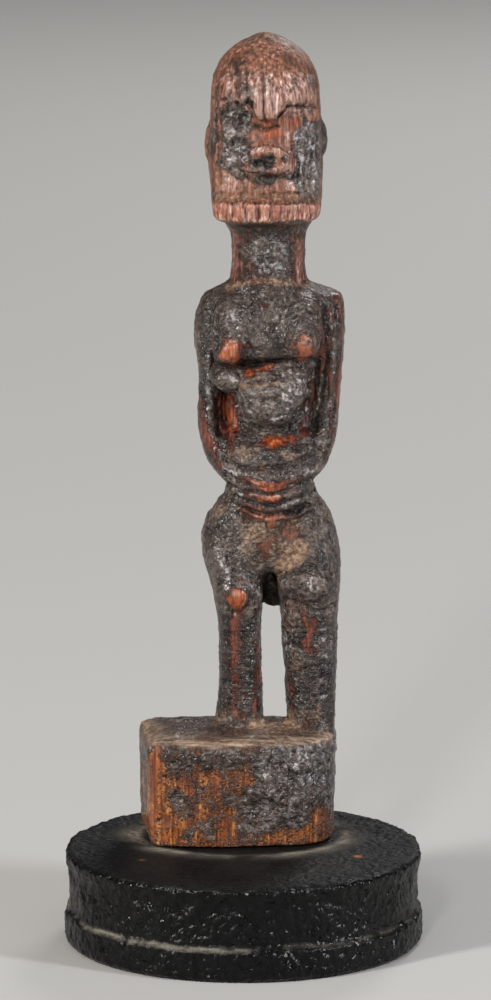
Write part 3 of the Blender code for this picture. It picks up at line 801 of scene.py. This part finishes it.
wood = wood + out * move[:, None]
wood[:, 1] += inward
look()

# Worn and crusted places have torn edges, less so on the narrow fingers
torn_edge = 0.75 - 0.55 * patch(-14.0, 15.0, 82.0, 99.0, 1.5)
front_x = front_x + torn_edge * lumps(wood, 2.6, 231, 3)
front_z = front_z + torn_edge * lumps(wood, 2.6, 241, 3)

# Heights between which one part of the figure passes into the next
block_edge, ankle_line, knee_line = (26.5, 29.5), (26.0, 34.0), (52.0, 60.0)
shoulder_line, jaw_line = (140.0, 146.0), (159.0, 163.0)
body = (1 - smooth_step(front_z, *shoulder_line)) * smooth_step(front_z, *ankle_line)
head = smooth_step(front_z, *jaw_line)
block = 1 - smooth_step(wood[:, 2], *block_edge)
neck = np.clip(1 - body - head - block, 0, 1)
chest = patch(-13.5, 13.5, 125.0, 143.5, 2.5)
trunk = patch(-8.0, 10.5, 106.0, 123.0, 1.5)
shin = smooth_step(front_z, 29.0, 33.0) * (1 - smooth_step(front_z, *knee_line))

# Wood rubbed bare to orange, and wood showing dark red through a thin coat
ragged = 0.42 * lumps(wood, 2.0, 71, 4)
under_nose = dab(0.6, 183.4, 6.6, 3.2)
eye_patch = 0.8 * dab(7.3, 187.4, 2.2, 3.4) + 0.55 * dab(4.8, 187.0, 3.4, 3.4)
rubbed = 0.8 * under_nose + 1.25 * eye_patch
rubbed += dabs(
    (1.05, -9.9, 127.0, 4.4, 7.0, -8), (0.5, -5.5, 128.5, 0.7, 0.8), (1.05, 9.0, 128.4, 4.4, 5.0),
    (1.25, -8.1, 61.7, 4.2, 4.6), (0.7, -0.6, 186.6, 2.6, 1.3), (0.85, 0.8, 103.2, 5.6, 3.0),
    (0.55, 5.6, 104.6, 4.4, 2.3), (1.2, 1.0, 82.0, 2.0, 2.4), (0.5, -5.2, 121.2, 2.2, 1.6),
    (0.3, -5.2, 84.2, 2.4, 2.4), (0.3, 5.8, 80.2, 2.4, 2.8),
)
rubbed += patches(
    (0.45, -12.2, -7.8, 124.4, 127.2, 1.6), (0.35, 6.6, 11.6, 126.4, 128.4, 1.6),
    (0.85, -15.5, 14.5, 161.4, 165.4, 0.5),
)
rubbed += lines(
    (0.6, [(-1.4, 199.0), (-1.4, 188.6)], 1.1),
    (0.7, [(-11.6, 114.8), (-11.0, 111.6), (-9.6, 107.6)], 3.8),
    (0.9, [(-3.4, 92.6), (0.8, 91.2), (3.8, 92.0)], 1.6),
    (0.9, [(-2.6, 88.9), (1.3, 88.3), (2.6, 88.6)], 1.3),
    (0.9, [(-3.1, 84.1), (0.3, 83.3), (3.7, 83.5)], 1.4),
    (0.5, [(-29.6, 21.0), (-30.0, 1.0)], 2.0),
    (0.6, [(-5.6, 122.2), (-3.0, 122.6), (0.2, 122.4)], 1.9),
    (0.5, [(-17.6, 110.0), (-16.6, 104.0)], 1.6),
)
thin = lines(
    (0.85, [(-8.5, 58.5), (-8.5, 52.2), (-8.0, 47.3), (-8.6, 41.8), (-8.6, 32.0)], 2.9),
    (1.1, [(7.9, 61.6), (9.0, 59.0), (10.3, 56.6), (10.7, 51.7), (10.9, 48.0)], 2.3),
    (0.9, [(-6.9, 94.0), (-2.0, 91.9), (3.4, 91.8), (8.6, 94.0)], 1.8),
    (0.8, [(-5.6, 89.5), (3.6, 89.0)], 1.4),
    (0.8, [(-7.4, 87.9), (-4.5, 86.6), (-2.4, 86.1)], 1.2),
    (0.8, [(-6.4, 85.6), (6.6, 84.2)], 1.5),
    (1.0, [(13.2, 133.0), (13.6, 125.7), (13.0, 120.7), (11.5, 115.7), (9.9, 110.7), (9.1, 105.9)],
     1.9),
    (1.1, [(17.6, 141.6), (18.9, 138.7), (19.1, 125.7), (18.5, 112.7), (17.5, 104.7), (15.6, 98.0)],
     2.0),
    (0.9, [(-17.6, 114.0), (-16.8, 106.0), (-14.6, 101.0), (-12.2, 96.6)], 2.0),
    (0.6, [(-11.0, 108.0), (-9.0, 99.6)], 1.8),
    (0.8, [(-2.6, 55.6), (-2.2, 41.8), (-3.4, 33.0)], 1.3),
    (0.8, [(5.6, 44.0), (6.2, 31.8)], 1.4),
    (0.9, [(-29.2, 21.0), (-29.6, 1.0)], 2.8),
    (0.7, [(-9.0, 147.0), (-8.6, 158.0)], 2.2),
    (0.7, [(8.4, 147.0), (8.0, 158.0)], 2.4),
)
streaky = smooth_step(lumps(wood, 1.6, 141, 3, (1, 1, 5)), -0.3, 0.5)
thin += 0.85 * streaky * patch(14.0, 20.5, 104.0, 140.5, 1.2)
speckled = smooth_step(lumps(wood, 1.0, 171, 3), -0.5, 0.9)
thin += 0.7 * speckled * patch(-4.0, 7.5, 73.0, 83.0, 2.5)
thin += dabs(
    (0.6, -10.6, 108.6, 3.8, 7.0), (0.4, -0.8, 76.0, 3.2, 6.2), (0.4, 5.8, 80.4, 3.8, 3.0),
    (0.6, -5.6, 84.2, 3.0, 3.2), (0.5, -0.9, 139.6, 4.0, 2.0), (0.5, -4.6, 138.0, 1.8, 2.4),
    (0.5, -5.5, 128.5, 1.4, 2.0),
)
rubbed = np.clip(rubbed * (1 + ragged), 0, 1)
thin = np.clip(thin * (1 + 1.3 * ragged), 0, 1)

# Crust covers the body, half of the face and neck and the block's right half, in folds
crust = 0.90 * body + 0.10 * head + 0.62 * neck
crust += 0.4 * neck * dab(0.6, 152.0, 7.6, 9.4)
crust += head * dabs(
    (0.35, -7.0, 195.2, 2.4, 4.4), (1.2, -8.2, 187.8, 6.4, 5.4), (1.1, -8.8, 180.0, 7.4, 8.4),
    (1.2, -1.3, 176.3, 5.0, 3.8), (0.8, -14.6, 181.5, 1.3, 7.0), (0.6, 9.3, 186.0, 1.8, 2.6),
    (0.45, 0.8, 171.0, 3.4, 1.4), (0.45, -6.0, 177.6, 2.2, 2.8), (0.5, 3.9, 177.0, 1.6, 2.4),
    (0.3, -0.9, 167.3, 3.0, 1.0),
)
crust += head * patches((0.95, 7.6, 16.0, 167.0, 187.5, 1.8), (0.3, 4.6, 8.6, 170.0, 184.0, 1.4))
crust += 0.6 * head * line(
    [(-12.6, 176.0), (-7.5, 173.4), (-2.4, 172.2), (2.2, 172.0), (8.2, 172.2)],
    1.5,
)
cake_edge = front_x - 0.35 * np.maximum(front_z - 9.0, 0.0) + 2.6 * lumps(wood, 4.2, 83, 3)
cake = smooth_step(cake_edge, -9.0, -5.0) * (1 - 1.3 * dab(14.6, 2.2, 5.6, 7.6))
cake = np.clip(cake * smooth_step(front_z - 0.10 * front_x, -1.2, 1.6), 0, 1)
crust += block * (0.42 + 0.12 * lumps(wood, 3.0, 93, 3) + 0.55 * cake * front + 0.12 * (1 - front))
crust += block * dabs(
    (0.45, -23.4, 8.8, 4.2, 4.4, 40), (0.45, -21.4, -0.6, 2.6, 2.0), (0.35, -16.5, 19.1, 4.0, 2.6),
    (0.35, -9.1, 18.5, 4.0, 3.6), (0.35, -28.4, 20.0, 2.6, 2.2), (0.35, -10.0, 9.0, 4.6, 4.6),
    (0.5, -14.9, -2.2, 2.0, 1.2), (-0.3, -28.2, 4.8, 4.2, 10.0), (-0.25, -15.0, 13.6, 4.0, 3.0),
    (-0.25, -10.8, -0.4, 3.4, 2.2),
)
rear = smooth_step(wood[:, 1], -3.0, 6.0)
crust += 0.55 * rear * (head + neck) * smooth_step(lumps(wood, 8.0, 101, 3), -0.9, 0.5)
crust += 0.30 * head * lumps(wood, 2.6, 181, 3) + 0.10 * lumps(wood, 5.0, 61, 3)
drips = smooth_step(front_z + 2.4 * lumps(wood, 2.6, 191, 2, (1, 1, 3)), 14.0, 19.0)
crust += 0.34 * block * front * drips
crust = np.clip(crust - 1.0 * rubbed - 0.75 * thin, 0, 1)

# Low relief in millimetres: swells of the adze, folds and beads of crust, upright grain and
# scallops on the shins
swell = 0.30 * lumps(wood, 10.0, 12, 2)
folds = 0.23 * (1 - 2 * np.abs(lumps(wood, 3.6, 16, 2)))
beads = 0.20 * (pebbles(wood, 2.1, 14) - 0.5)
grain = 0.17 * lumps(wood, 0.95, 11, 3, (1, 1, 8)) + 0.10 * lumps(wood, 2.4, 17, 2, (1, 1, 5))
upright = 1 - np.abs(out[:, 2]) ** 2
calm = 1 - 0.75 * chest - 0.7 * trunk
shin_wave = wood[:, 2] * 2.4 + 2.6 * lumps(wood, 5.0, 39, 2) + 0.25 * wood[:, 0]
scallops = -0.16 * shin * np.abs(np.sin(shin_wave)) * upright
relief = swell + crust * calm * (folds + beads) + crust * (1 - calm) * 0.5 * folds
relief += (1 - crust) * (1 - 0.50 * rubbed) * grain * upright + scallops * (1 - 0.7 * rubbed)
fibrous = block * smooth_step(out[:, 2], 0.35, 0.8)
relief += 0.26 * lumps(wood, 1.1, 27, 3, (7, 1, 1)) * fibrous
stays_flat = smooth_step(wood[:, 2], 0.4, 2.4)
wood = wood + out * (relief * stays_flat)[:, None]
wood[:, 2] = np.maximum(wood[:, 2], 0.0)
look()

# How hollow or proud each point is against its surroundings, at two sizes
hollow = np.zeros(len(wood))
for rounds, weight in ((4, 1.0), (30, 0.7)):
    settled = np.stack([eased(wood[:, i], rounds) for i in range(3)], axis=1)
    hollow += weight * ((settled - wood) * out).sum(axis=1)
proud = np.clip(-hollow * 3.2, 0, 1)
hollow = np.clip(hollow * 2.2, 0, 1)
# Painted shade: the gap between the thighs is painted dark all through
thigh_gap_shade = smooth_step(wood[:, 1], 0.0, 3.0) * smooth_step(front_z, 55.0, 60.0)
thigh_gap_shade *= 1 - smooth_step(front_z, 70.0, 74.0)
thigh_gap_shade *= (np.abs(wood[:, 0] - 1.4) < 4.5) * smooth_step(-out[:, 1], 0.1, 0.5)

store(carving, "crust", crust)
store(carving, "rubbed", rubbed)

# Ochre dust in hollows that face up, round the neck's foot, over the navel and between the ankles
facing_up = smooth_step(out[:, 2], -0.2, 0.7)
dust = 0.35 * hollow * (0.3 + 0.7 * facing_up)
dust += 0.25 * head * smooth_step(front_z, 201.0, 206.0)
dust += lines(
    (0.8, [(-10.8, 144.0), (-5.0, 145.2), (0.2, 145.6), (5.0, 145.3), (10.8, 144.0)], 1.5),
    (1.0, [(-7.1, 117.9), (-4.5, 118.1), (-2.6, 118.0), (0.4, 118.3), (2.9, 118.6)], 0.75),
    (0.4, [(-4.2, 180.8), (-1.6, 180.8), (0.6, 181.0)], 1.0),
    (0.5, [(5.6, 189.4), (11.8, 189.4)], 0.5),
)
dust += 0.5 * (1 - 0.8 * dab(-1.2, 167.3, 2.6, 1.2)) * patch(-14, 13.6, 166.4, 168.2, 0.8)
dust += dabs(
    (0.5, -1.4, 120.6, 5.0, 2.4), (0.6, -6.0, 101.0, 6.4, 3.0, -12),
    (0.5, 5.4, 99.8, 6.0, 2.4, 12), (0.6, -12.4, 85.6, 3.2, 3.4), (0.45, 15.2, 85.6, 2.8, 4.0),
    (0.35, -3.4, 170.6, 2.8, 1.2),
)
dust += 1.4 * smooth_step(front_z - 0.42 * front_x, 66.9, 67.4) * line(
    [(3.8, 70.4), (6.0, 72.4), (7.6, 75.2)],
    3.4,
)
dust += patches((0.5, -9, 10, 73.0, 84.0, 3.0), (0.4, -15, 15, 29.0, 33.0, 1.6))
between_ankles = np.exp(-(((wood[:, 0] - 1.0) / 6.5) ** 2) - ((wood[:, 1] + 5.0) / 6.5) ** 2)
between_ankles *= smooth_step(out[:, 2], 0.2, 0.6) * (1 - smooth_step(wood[:, 2], 31.0, 34.0))
dust += 0.62 * fibrous + 1.5 * between_ankles
store(carving, "dust", dust)
# The hollowness goes to the shader with the thighs' gap added, and both are darkened as painted shade
store(carving, "hollow", np.clip(hollow + thigh_gap_shade, 0, 1))
store(carving, "proud", proud)
store(carving, "block", block)
store(carving, "fibrous", fibrous)

# Painted glints where the crust has been handled glossy, painted highlights on worn wood, where
# the crust is pale, and pink worn wood whose palest tones are a painted sheen
painted_glint_and_gloss = 0.2 * trunk + 0.28 * block * cake * front + 0.07 * body
painted_glint_and_gloss += dabs(
    (0.9, -7.4, 194.0, 1.8, 3.0), (0.35, -8.4, 187.8, 4.6, 3.4), (1.0, -7.3, 183.5, 1.9, 1.5),
    (0.8, -10.4, 176.9, 2.0, 1.3), (0.9, -6.2, 177.4, 1.5, 2.6), (0.4, -9.0, 180.0, 4.0, 5.0),
    (0.6, -9.0, 135.8, 3.6, 4.6), (1.0, -9.7, 131.2, 1.3, 3.6), (0.6, 3.4, 134.8, 2.8, 3.6),
    (0.6, 8.8, 132.2, 2.6, 0.9), (0.5, 9.6, 138.4, 3.6, 2.6), (0.9, -9.6, 119.4, 2.8, 2.6),
    (0.8, -4.6, 112.6, 1.7, 2.8), (0.45, -7.4, 76.0, 3.0, 6.0), (1.0, 12.0, 66.2, 3.2, 5.0, 20),
    (0.6, 4.0, 66.4, 1.4, 2.2),
)
painted_glint_and_gloss += lines(
    (0.8, [(-9.4, 188.0), (-8.4, 189.2), (-6.7, 189.0)], 0.7),
    (0.8, [(-12.4, 181.4), (-11.9, 179.0), (-11.2, 177.0)], 1.3),
    (1.0, [(2.3, 179.4), (4.6, 177.7), (4.3, 175.7), (2.8, 175.0)], 1.0),
    (1.0, [(7.9, 187.6), (8.8, 183.4)], 0.9),
    (1.0, [(10.4, 187.4), (9.0, 184.0), (10.7, 181.4)], 0.9),
    (0.5, [(-6.5, 129.7), (-4.6, 127.0), (-2.6, 127.6)], 0.8),
    (1.0, [(3.4, 115.9), (4.9, 111.7)], 0.9),
    (0.8, [(0.9, 109.5), (5.2, 110.5)], 0.8),
    (
        0.7,
        [(16.3, 139.0), (16.5, 133.2), (16.7, 123.2), (16.5, 115.7), (14.9, 109.2), (13.6, 103.6)],
        0.9,
    ),
    (0.7, [(-15.6, 126.0), (-15.4, 115.7), (-14.9, 104.0)], 0.9),
    (0.9, [(-11.6, 97.2), (-9.6, 95.6), (-7.4, 94.4)], 1.6),
    (0.6, [(3.6, 92.8), (8.1, 94.8), (12.4, 97.0)], 1.1),
    (0.7, [(3.2, 86.4), (7.6, 87.8), (11.4, 89.6)], 0.9),
    (0.7, [(-9.0, 90.6), (-5.2, 89.4)], 1.0),
    (0.7, [(-7.6, 88.0), (-3.9, 86.6)], 0.9),
    (0.7, [(-6.2, 85.8), (-2.8, 84.2)], 0.8),
    (1.0, [(-13.4, 75.6), (-11.7, 71.2), (-10.8, 67.0), (-10.9, 64.0)], 1.7),
    (0.7, [(-4.4, 65.6), (-2.6, 63.8), (-2.2, 60.8)], 1.1),
    (0.5, [(4.6, 53.0), (5.2, 46.0)], 1.6),
    (0.5, [(14.6, 55.0), (15.2, 47.0)], 1.8),
    (0.5, [(13.6, 41.0), (14.2, 36.0)], 1.6),
)
painted_glint_and_gloss += patches(
    (0.45, -9.0, 11.5, 189.5, 199.5, 1.5), (0.5, 4.8, 12.6, 168.5, 183.0, 1.2),
    (0.55, -4.0, 4.4, 147.5, 156.5, 2.0), (0.75, 3.4, 8.8, 114.0, 122.4, 1.0),
    (0.45, -13.0, -3.6, 172.5, 189.5, 2.0), (0.35, 4.8, 12.6, 168.5, 187.0, 1.6),
)
painted_glint_and_gloss += block * dabs(
    (0.8, 8.0, 18.8, 5.6, 3.6), (0.7, -1.6, 16.6, 2.6, 3.6), (0.6, 1.0, 12.4, 3.6, 4.0),
    (0.8, -14.9, -2.2, 1.8, 1.0),
)
painted_glint_and_gloss += 0.7 * block * line([(-30.4, 20.0), (-30.7, 3.0)], 0.7)
store(carving, "painted_glint_and_gloss", painted_glint_and_gloss)
# Painted highlights on the worn breast tips, the fingers and the left knee
painted_highlight = lines(
    (0.8, [(-8.9, 133.4), (-9.3, 130.4)], 1.5),
    (0.25, [(9.8, 132.0), (9.9, 129.6)], 2.0),
    (0.6, [(-5.6, 93.6), (-2.2, 92.2)], 0.5),
    (0.6, [(-3.6, 89.4), (3.6, 89.2)], 0.4),
)
painted_highlight += 0.25 * dab(-8.6, 63.4, 1.8, 1.0)
store(carving, "painted_highlight", painted_highlight)
pale = 0.55 * body + 0.35 * neck + 0.60 * head + 0.40 * block + 0.15 * painted_glint_and_gloss - 0.75 * shin
pale += 0.25 * lumps(wood, 7.0, 111, 2)
# Paler crust on both cheeks, and darker crust along the chest shelf's underside as painted shade
pale += patches(
    (0.4, -13.0, -3.6, 172.5, 186.0, 2.0), (0.3, 4.6, 13.0, 168.0, 188.0, 2.0),
    (-0.3, -8.0, 9.0, 123.4, 126.4, 1.0),
)
pale += dabs((-0.2, -8.2, 187.6, 4.4, 3.6), (-0.4, -1.2, 176.2, 3.2, 2.2))
pale += lines(
    (-0.75, [(-15.4, 136.0), (-15.4, 104.0)], 3.8),
    (-0.55, [(15.6, 139.0), (15.6, 104.0)], 2.6),
)
store(carving, "pale", pale)
# Pink worn wood on the forehead, nose, lips, chin and neck sides, whose palest tones are a painted sheen
# and painted highlights
pink_wear_and_sheen = 0.35 * neck
pink_wear_and_sheen += patches(
    (0.85, -11.6, 11.8, 188.4, 199.0, 2.0), (0.7, 4.4, 8.4, 170.5, 184.0, 1.2),
    (0.55, -15, 14.5, 161.0, 165.8, 0.6),
)
pink_wear_and_sheen += dabs(
    (0.8, -0.6, 189.6, 3.4, 4.0), (0.9, -10.0, 171.6, 3.6, 2.8), (0.8, 5.8, 170.2, 2.8, 2.0),
)
pink_wear_and_sheen += lines(
    (0.8, [(-5.7, 179.4), (-3.6, 179.3), (-0.8, 180.0), (2.0, 179.3)], 1.4),
    (0.8, [(-6.7, 174.8), (-3.3, 173.8), (0.3, 174.2), (4.9, 174.9)], 1.2),
)
pink_wear_and_sheen += 0.3 * head * dab(-0.5, 170.6, 7.0, 2.0)
store(carving, "pink_wear_and_sheen", pink_wear_and_sheen * (1 - 0.6 * dab(-1.4, 193.6, 0.9, 7.0)))
store(carving, "head", np.clip(head + 0.3 * neck, 0, 1))

# Old oiled hardwood with upright grain, under a coat of smoke, oil and meal that dried hard
# and dark, dull in the hollows, where painted shade darkens it, and polished and lighter on the
# high spots, partly from wear and partly as a painted highlight
patina, tree, shader = new_finish("crusted_hardwood")
here = add_node(tree, "ShaderNodeTexCoord").outputs["Object"]


def crests(noise_value, sharp):
    """Turns noise into narrow raised lines where it crosses its middle."""
    off_middle = sum_of("ABSOLUTE", sum_of("MULTIPLY_ADD", noise_value, sharp, -0.5 * sharp))
    return sum_of("SUBTRACT", 1.0, off_middle)


# Grain lines 0.8 mm apart and 13 mm long in bands of 3 mm, wrinkles of 2 mm, swirls of 2.4 mm
# and grit of 1.1 mm. Real grain and grit are finer, and are drawn as coarse as they need to show.
upright_grain = add_node(
    tree, "ShaderNodeMapping", {"Vector": here, "Scale": (1.0, 1.0, 0.06)}
).outputs["Vector"]
level_grain = add_node(
    tree, "ShaderNodeMapping", {"Vector": here, "Scale": (0.09, 1.0, 1.0)}
).outputs["Vector"]
grain_lines = mottle(upright_grain, 0.8)
grain_bands = mottle(upright_grain, 3.2, 3.0, 0.5)
fibres = mottle(level_grain, 1.0)
crust_grit = mottle(here, 1.1, 2.0, 0.5)
crust_fine = mottle(here, 0.55, 3.0)
crust_broad = mottle(here, 5.5, 5.0)
wrinkles = crests(mottle(here, 2.0, 1.0, 0.5, 1.2), 2.8)
knots = mottle(here, 1.2, 1.0, 0.5, 0.8)
swirls = mottle(here, 2.4, 2.0, 0.5, 1.2)
coat = sum_of("MULTIPLY_ADD", crust_broad, 0.40, sum_of("MULTIPLY", swirls, 0.35))
coat = sum_of("MULTIPLY_ADD", crust_grit, 0.25, coat)

red_wood = ramp(grain_lines, (0.30, "#130603"), (0.44, "#3c170c"), (0.57, "#672b1b"), (0.70, "#97543d"))
dome_wood = ramp(crust_grit, (0.30, "#2a1812"), (0.46, "#66402d"), (0.60, "#8f5f46"), (0.74, "#b09074"))
head_wood = ramp(grain_lines, (0.30, "#200e08"), (0.44, "#603524"), (0.57, "#8f5c46"), (0.70, "#c09a86"))
head_wood = blend(between(crust_broad, 0.42, 0.58, 0.1, 0.9), head_wood, dome_wood)
pink_wood_and_sheen = ramp(grain_lines, (0.30, "#3c1d14"), (0.42, "#875646"), (0.55, "#b58f82"), (0.67, "#e6d8d2"))
wood_colour = blend(layer("head"), red_wood, head_wood)
wood_colour = blend(between(grain_bands, 0.50, 0.66, 0.0, 0.6), wood_colour, linear("#24120c"))
block_wood = ramp(grain_lines, (0.30, "#2c150a"), (0.44, "#753c1a"), (0.58, "#a3602b"), (0.72, "#c58e58"))
block_wood = blend(between(swirls, 0.46, 0.60, 0.0, 0.65), block_wood, linear("#552a15"))
block_wood = blend(between(crust_fine, 0.52, 0.62, 0.0, 0.9), block_wood, linear("#150d09"))
wood_colour = blend(layer("block"), wood_colour, block_wood)
worn_rim = ramp(grain_lines, (0.28, "#35140a"), (0.46, "#6b2d17"), (0.62, "#8f4a2a"))
worn_core = ramp(grain_lines, (0.28, "#42180a"), (0.43, "#7a3213"), (0.57, "#a05026"), (0.70, "#c08055"))
worn_wood = blend(between(layer("rubbed"), 0.45, 0.95), worn_rim, worn_core)
# Painted highlight on worn wood, nearly white
worn_wood = blend(sum_of("MULTIPLY", layer("painted_highlight"), 0.8), worn_wood, linear("#e3cdbd"))
rubbed_edge = sum_of("ADD", layer("rubbed"), sum_of("MULTIPLY_ADD", crust_grit, 1.7, -0.85))
rubbed_edge = sum_of("ADD", rubbed_edge, sum_of("MULTIPLY_ADD", crust_broad, 0.8, -0.4))
wood_colour = blend(between(rubbed_edge, 0.25, 0.75), wood_colour, worn_wood)
# Pink worn wood, with its palest tones a painted sheen
pink_sheen_edge = sum_of("ADD", layer("pink_wear_and_sheen"), sum_of("MULTIPLY_ADD", crust_grit, 1.4, -0.7))
wood_colour = blend(between(pink_sheen_edge, 0.15, 1.0, 0.0, 0.85), wood_colour, pink_wood_and_sheen)

crust_dark = ramp(coat, (0.40, "#050302"), (0.47, "#130e0b"), (0.54, "#251b16"), (0.63, "#4c4039"))
crust_pale = ramp(coat, (0.40, "#17110e"), (0.47, "#362a24"), (0.54, "#55483f"), (0.63, "#84776d"))
crust_colour = blend(layer("pale"), crust_dark, crust_pale)
crust_colour = blend(between(crust_broad, 0.52, 0.68, 0.0, 0.40), crust_colour, linear("#45291c"))
# Painted glints: spots and wrinkle crests on the crust turned pale grey where the glint layer is set; the
# same layer also lowers the roughness
glint_spots = between(mottle(here, 1.5, 2.0, 0.5), 0.50, 0.66, 0.04, 0.85)
painted_glints = sum_of("MAXIMUM", glint_spots, between(wrinkles, 0.85, 1.0, 0.0, 0.25))
painted_glints = sum_of("MULTIPLY", layer("painted_glint_and_gloss"), painted_glints)
crust_colour = blend(painted_glints, crust_colour, linear("#b9b3b4"))
edge_noise = sum_of("MULTIPLY_ADD", crust_fine, 1.3, -0.65)
edge_noise = sum_of("ADD", edge_noise, sum_of("MULTIPLY_ADD", crust_broad, 1.5, -0.75))
crust_cover = sum_of("ADD", layer("crust"), edge_noise)
crust_cover = between(crust_cover, 0.28, 0.72)
colour = blend(crust_cover, wood_colour, crust_colour)
weathered = ramp(fibres, (0.36, "#251a12"), (0.48, "#7c6753"), (0.62, "#c6b096"))
colour = blend(layer("fibrous"), colour, weathered)
# Raised spots lighter: partly wear of the high spots, partly a painted highlight
colour = blend(sum_of("MULTIPLY", layer("proud"), 0.14), colour, linear("#8d776a"))
# Painted shade: hollows and the gap between the thighs darkened nearly to black
colour = blend(sum_of("MULTIPLY", layer("hollow"), 0.88), colour, linear("#090504"))
dust_cover = sum_of("ADD", layer("dust"), sum_of("MULTIPLY_ADD", crust_fine, 1.0, -0.5))
dust_cover = sum_of("ADD", dust_cover, sum_of("MULTIPLY_ADD", crust_broad, 1.0, -0.5))
dust_cover = between(dust_cover, 0.10, 1.05, 0.0, 0.80)
dust_tone = ramp(crust_grit, (0.36, "#5d4433"), (0.52, "#876952"), (0.68, "#b09277"))
colour = blend(dust_cover, colour, dust_tone)
tree.links.new(colour, shader.inputs["Base Color"])

gloss = between(layer("painted_glint_and_gloss"), 0.0, 0.8, 0.30, 0.19)
gloss = sum_of("MULTIPLY_ADD", layer("rubbed"), 0.04, gloss)
dome_matt = sum_of("MULTIPLY", layer("head"), sum_of("SUBTRACT", 1.0, layer("painted_glint_and_gloss")))
gloss = sum_of("MULTIPLY_ADD", dome_matt, 0.20, gloss)
gloss = sum_of("ADD", gloss, sum_of("MULTIPLY_ADD", swirls, 0.50, -0.25))
gloss = sum_of("MULTIPLY_ADD", dust_cover, 0.45, gloss)
gloss = sum_of("MULTIPLY_ADD", layer("fibrous"), 0.25, gloss)
gloss = sum_of("MULTIPLY_ADD", layer("hollow"), 0.20, gloss)
tree.links.new(gloss, shader.inputs["Roughness"])
shader.inputs["IOR"].default_value = 1.5

wood_height = sum_of("MULTIPLY", mottle(upright_grain, 0.9, 1.0, 0.5), 0.55)
crust_height = sum_of("MULTIPLY_ADD", wrinkles, 0.14, sum_of("MULTIPLY_ADD", swirls, 0.5, knots))
relief_height = add_node(
    tree, "ShaderNodeMix", {0: crust_cover, 2: wood_height, 3: crust_height}, data_type="FLOAT"
).outputs[0]
relief_height = add_node(
    tree, "ShaderNodeMix", {0: layer("fibrous"), 2: relief_height, 3: fibres}, data_type="FLOAT"
).outputs[0]
bumped = add_node(
    tree, "ShaderNodeBump", {"Height": relief_height, "Strength": 1.0, "Distance": 0.00075}
)
tree.links.new(bumped.outputs[0], shader.inputs["Normal"])
carving.data.materials.clear()
carving.data.materials.append(patina)
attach(carving, "root")
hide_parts("carved_figure")
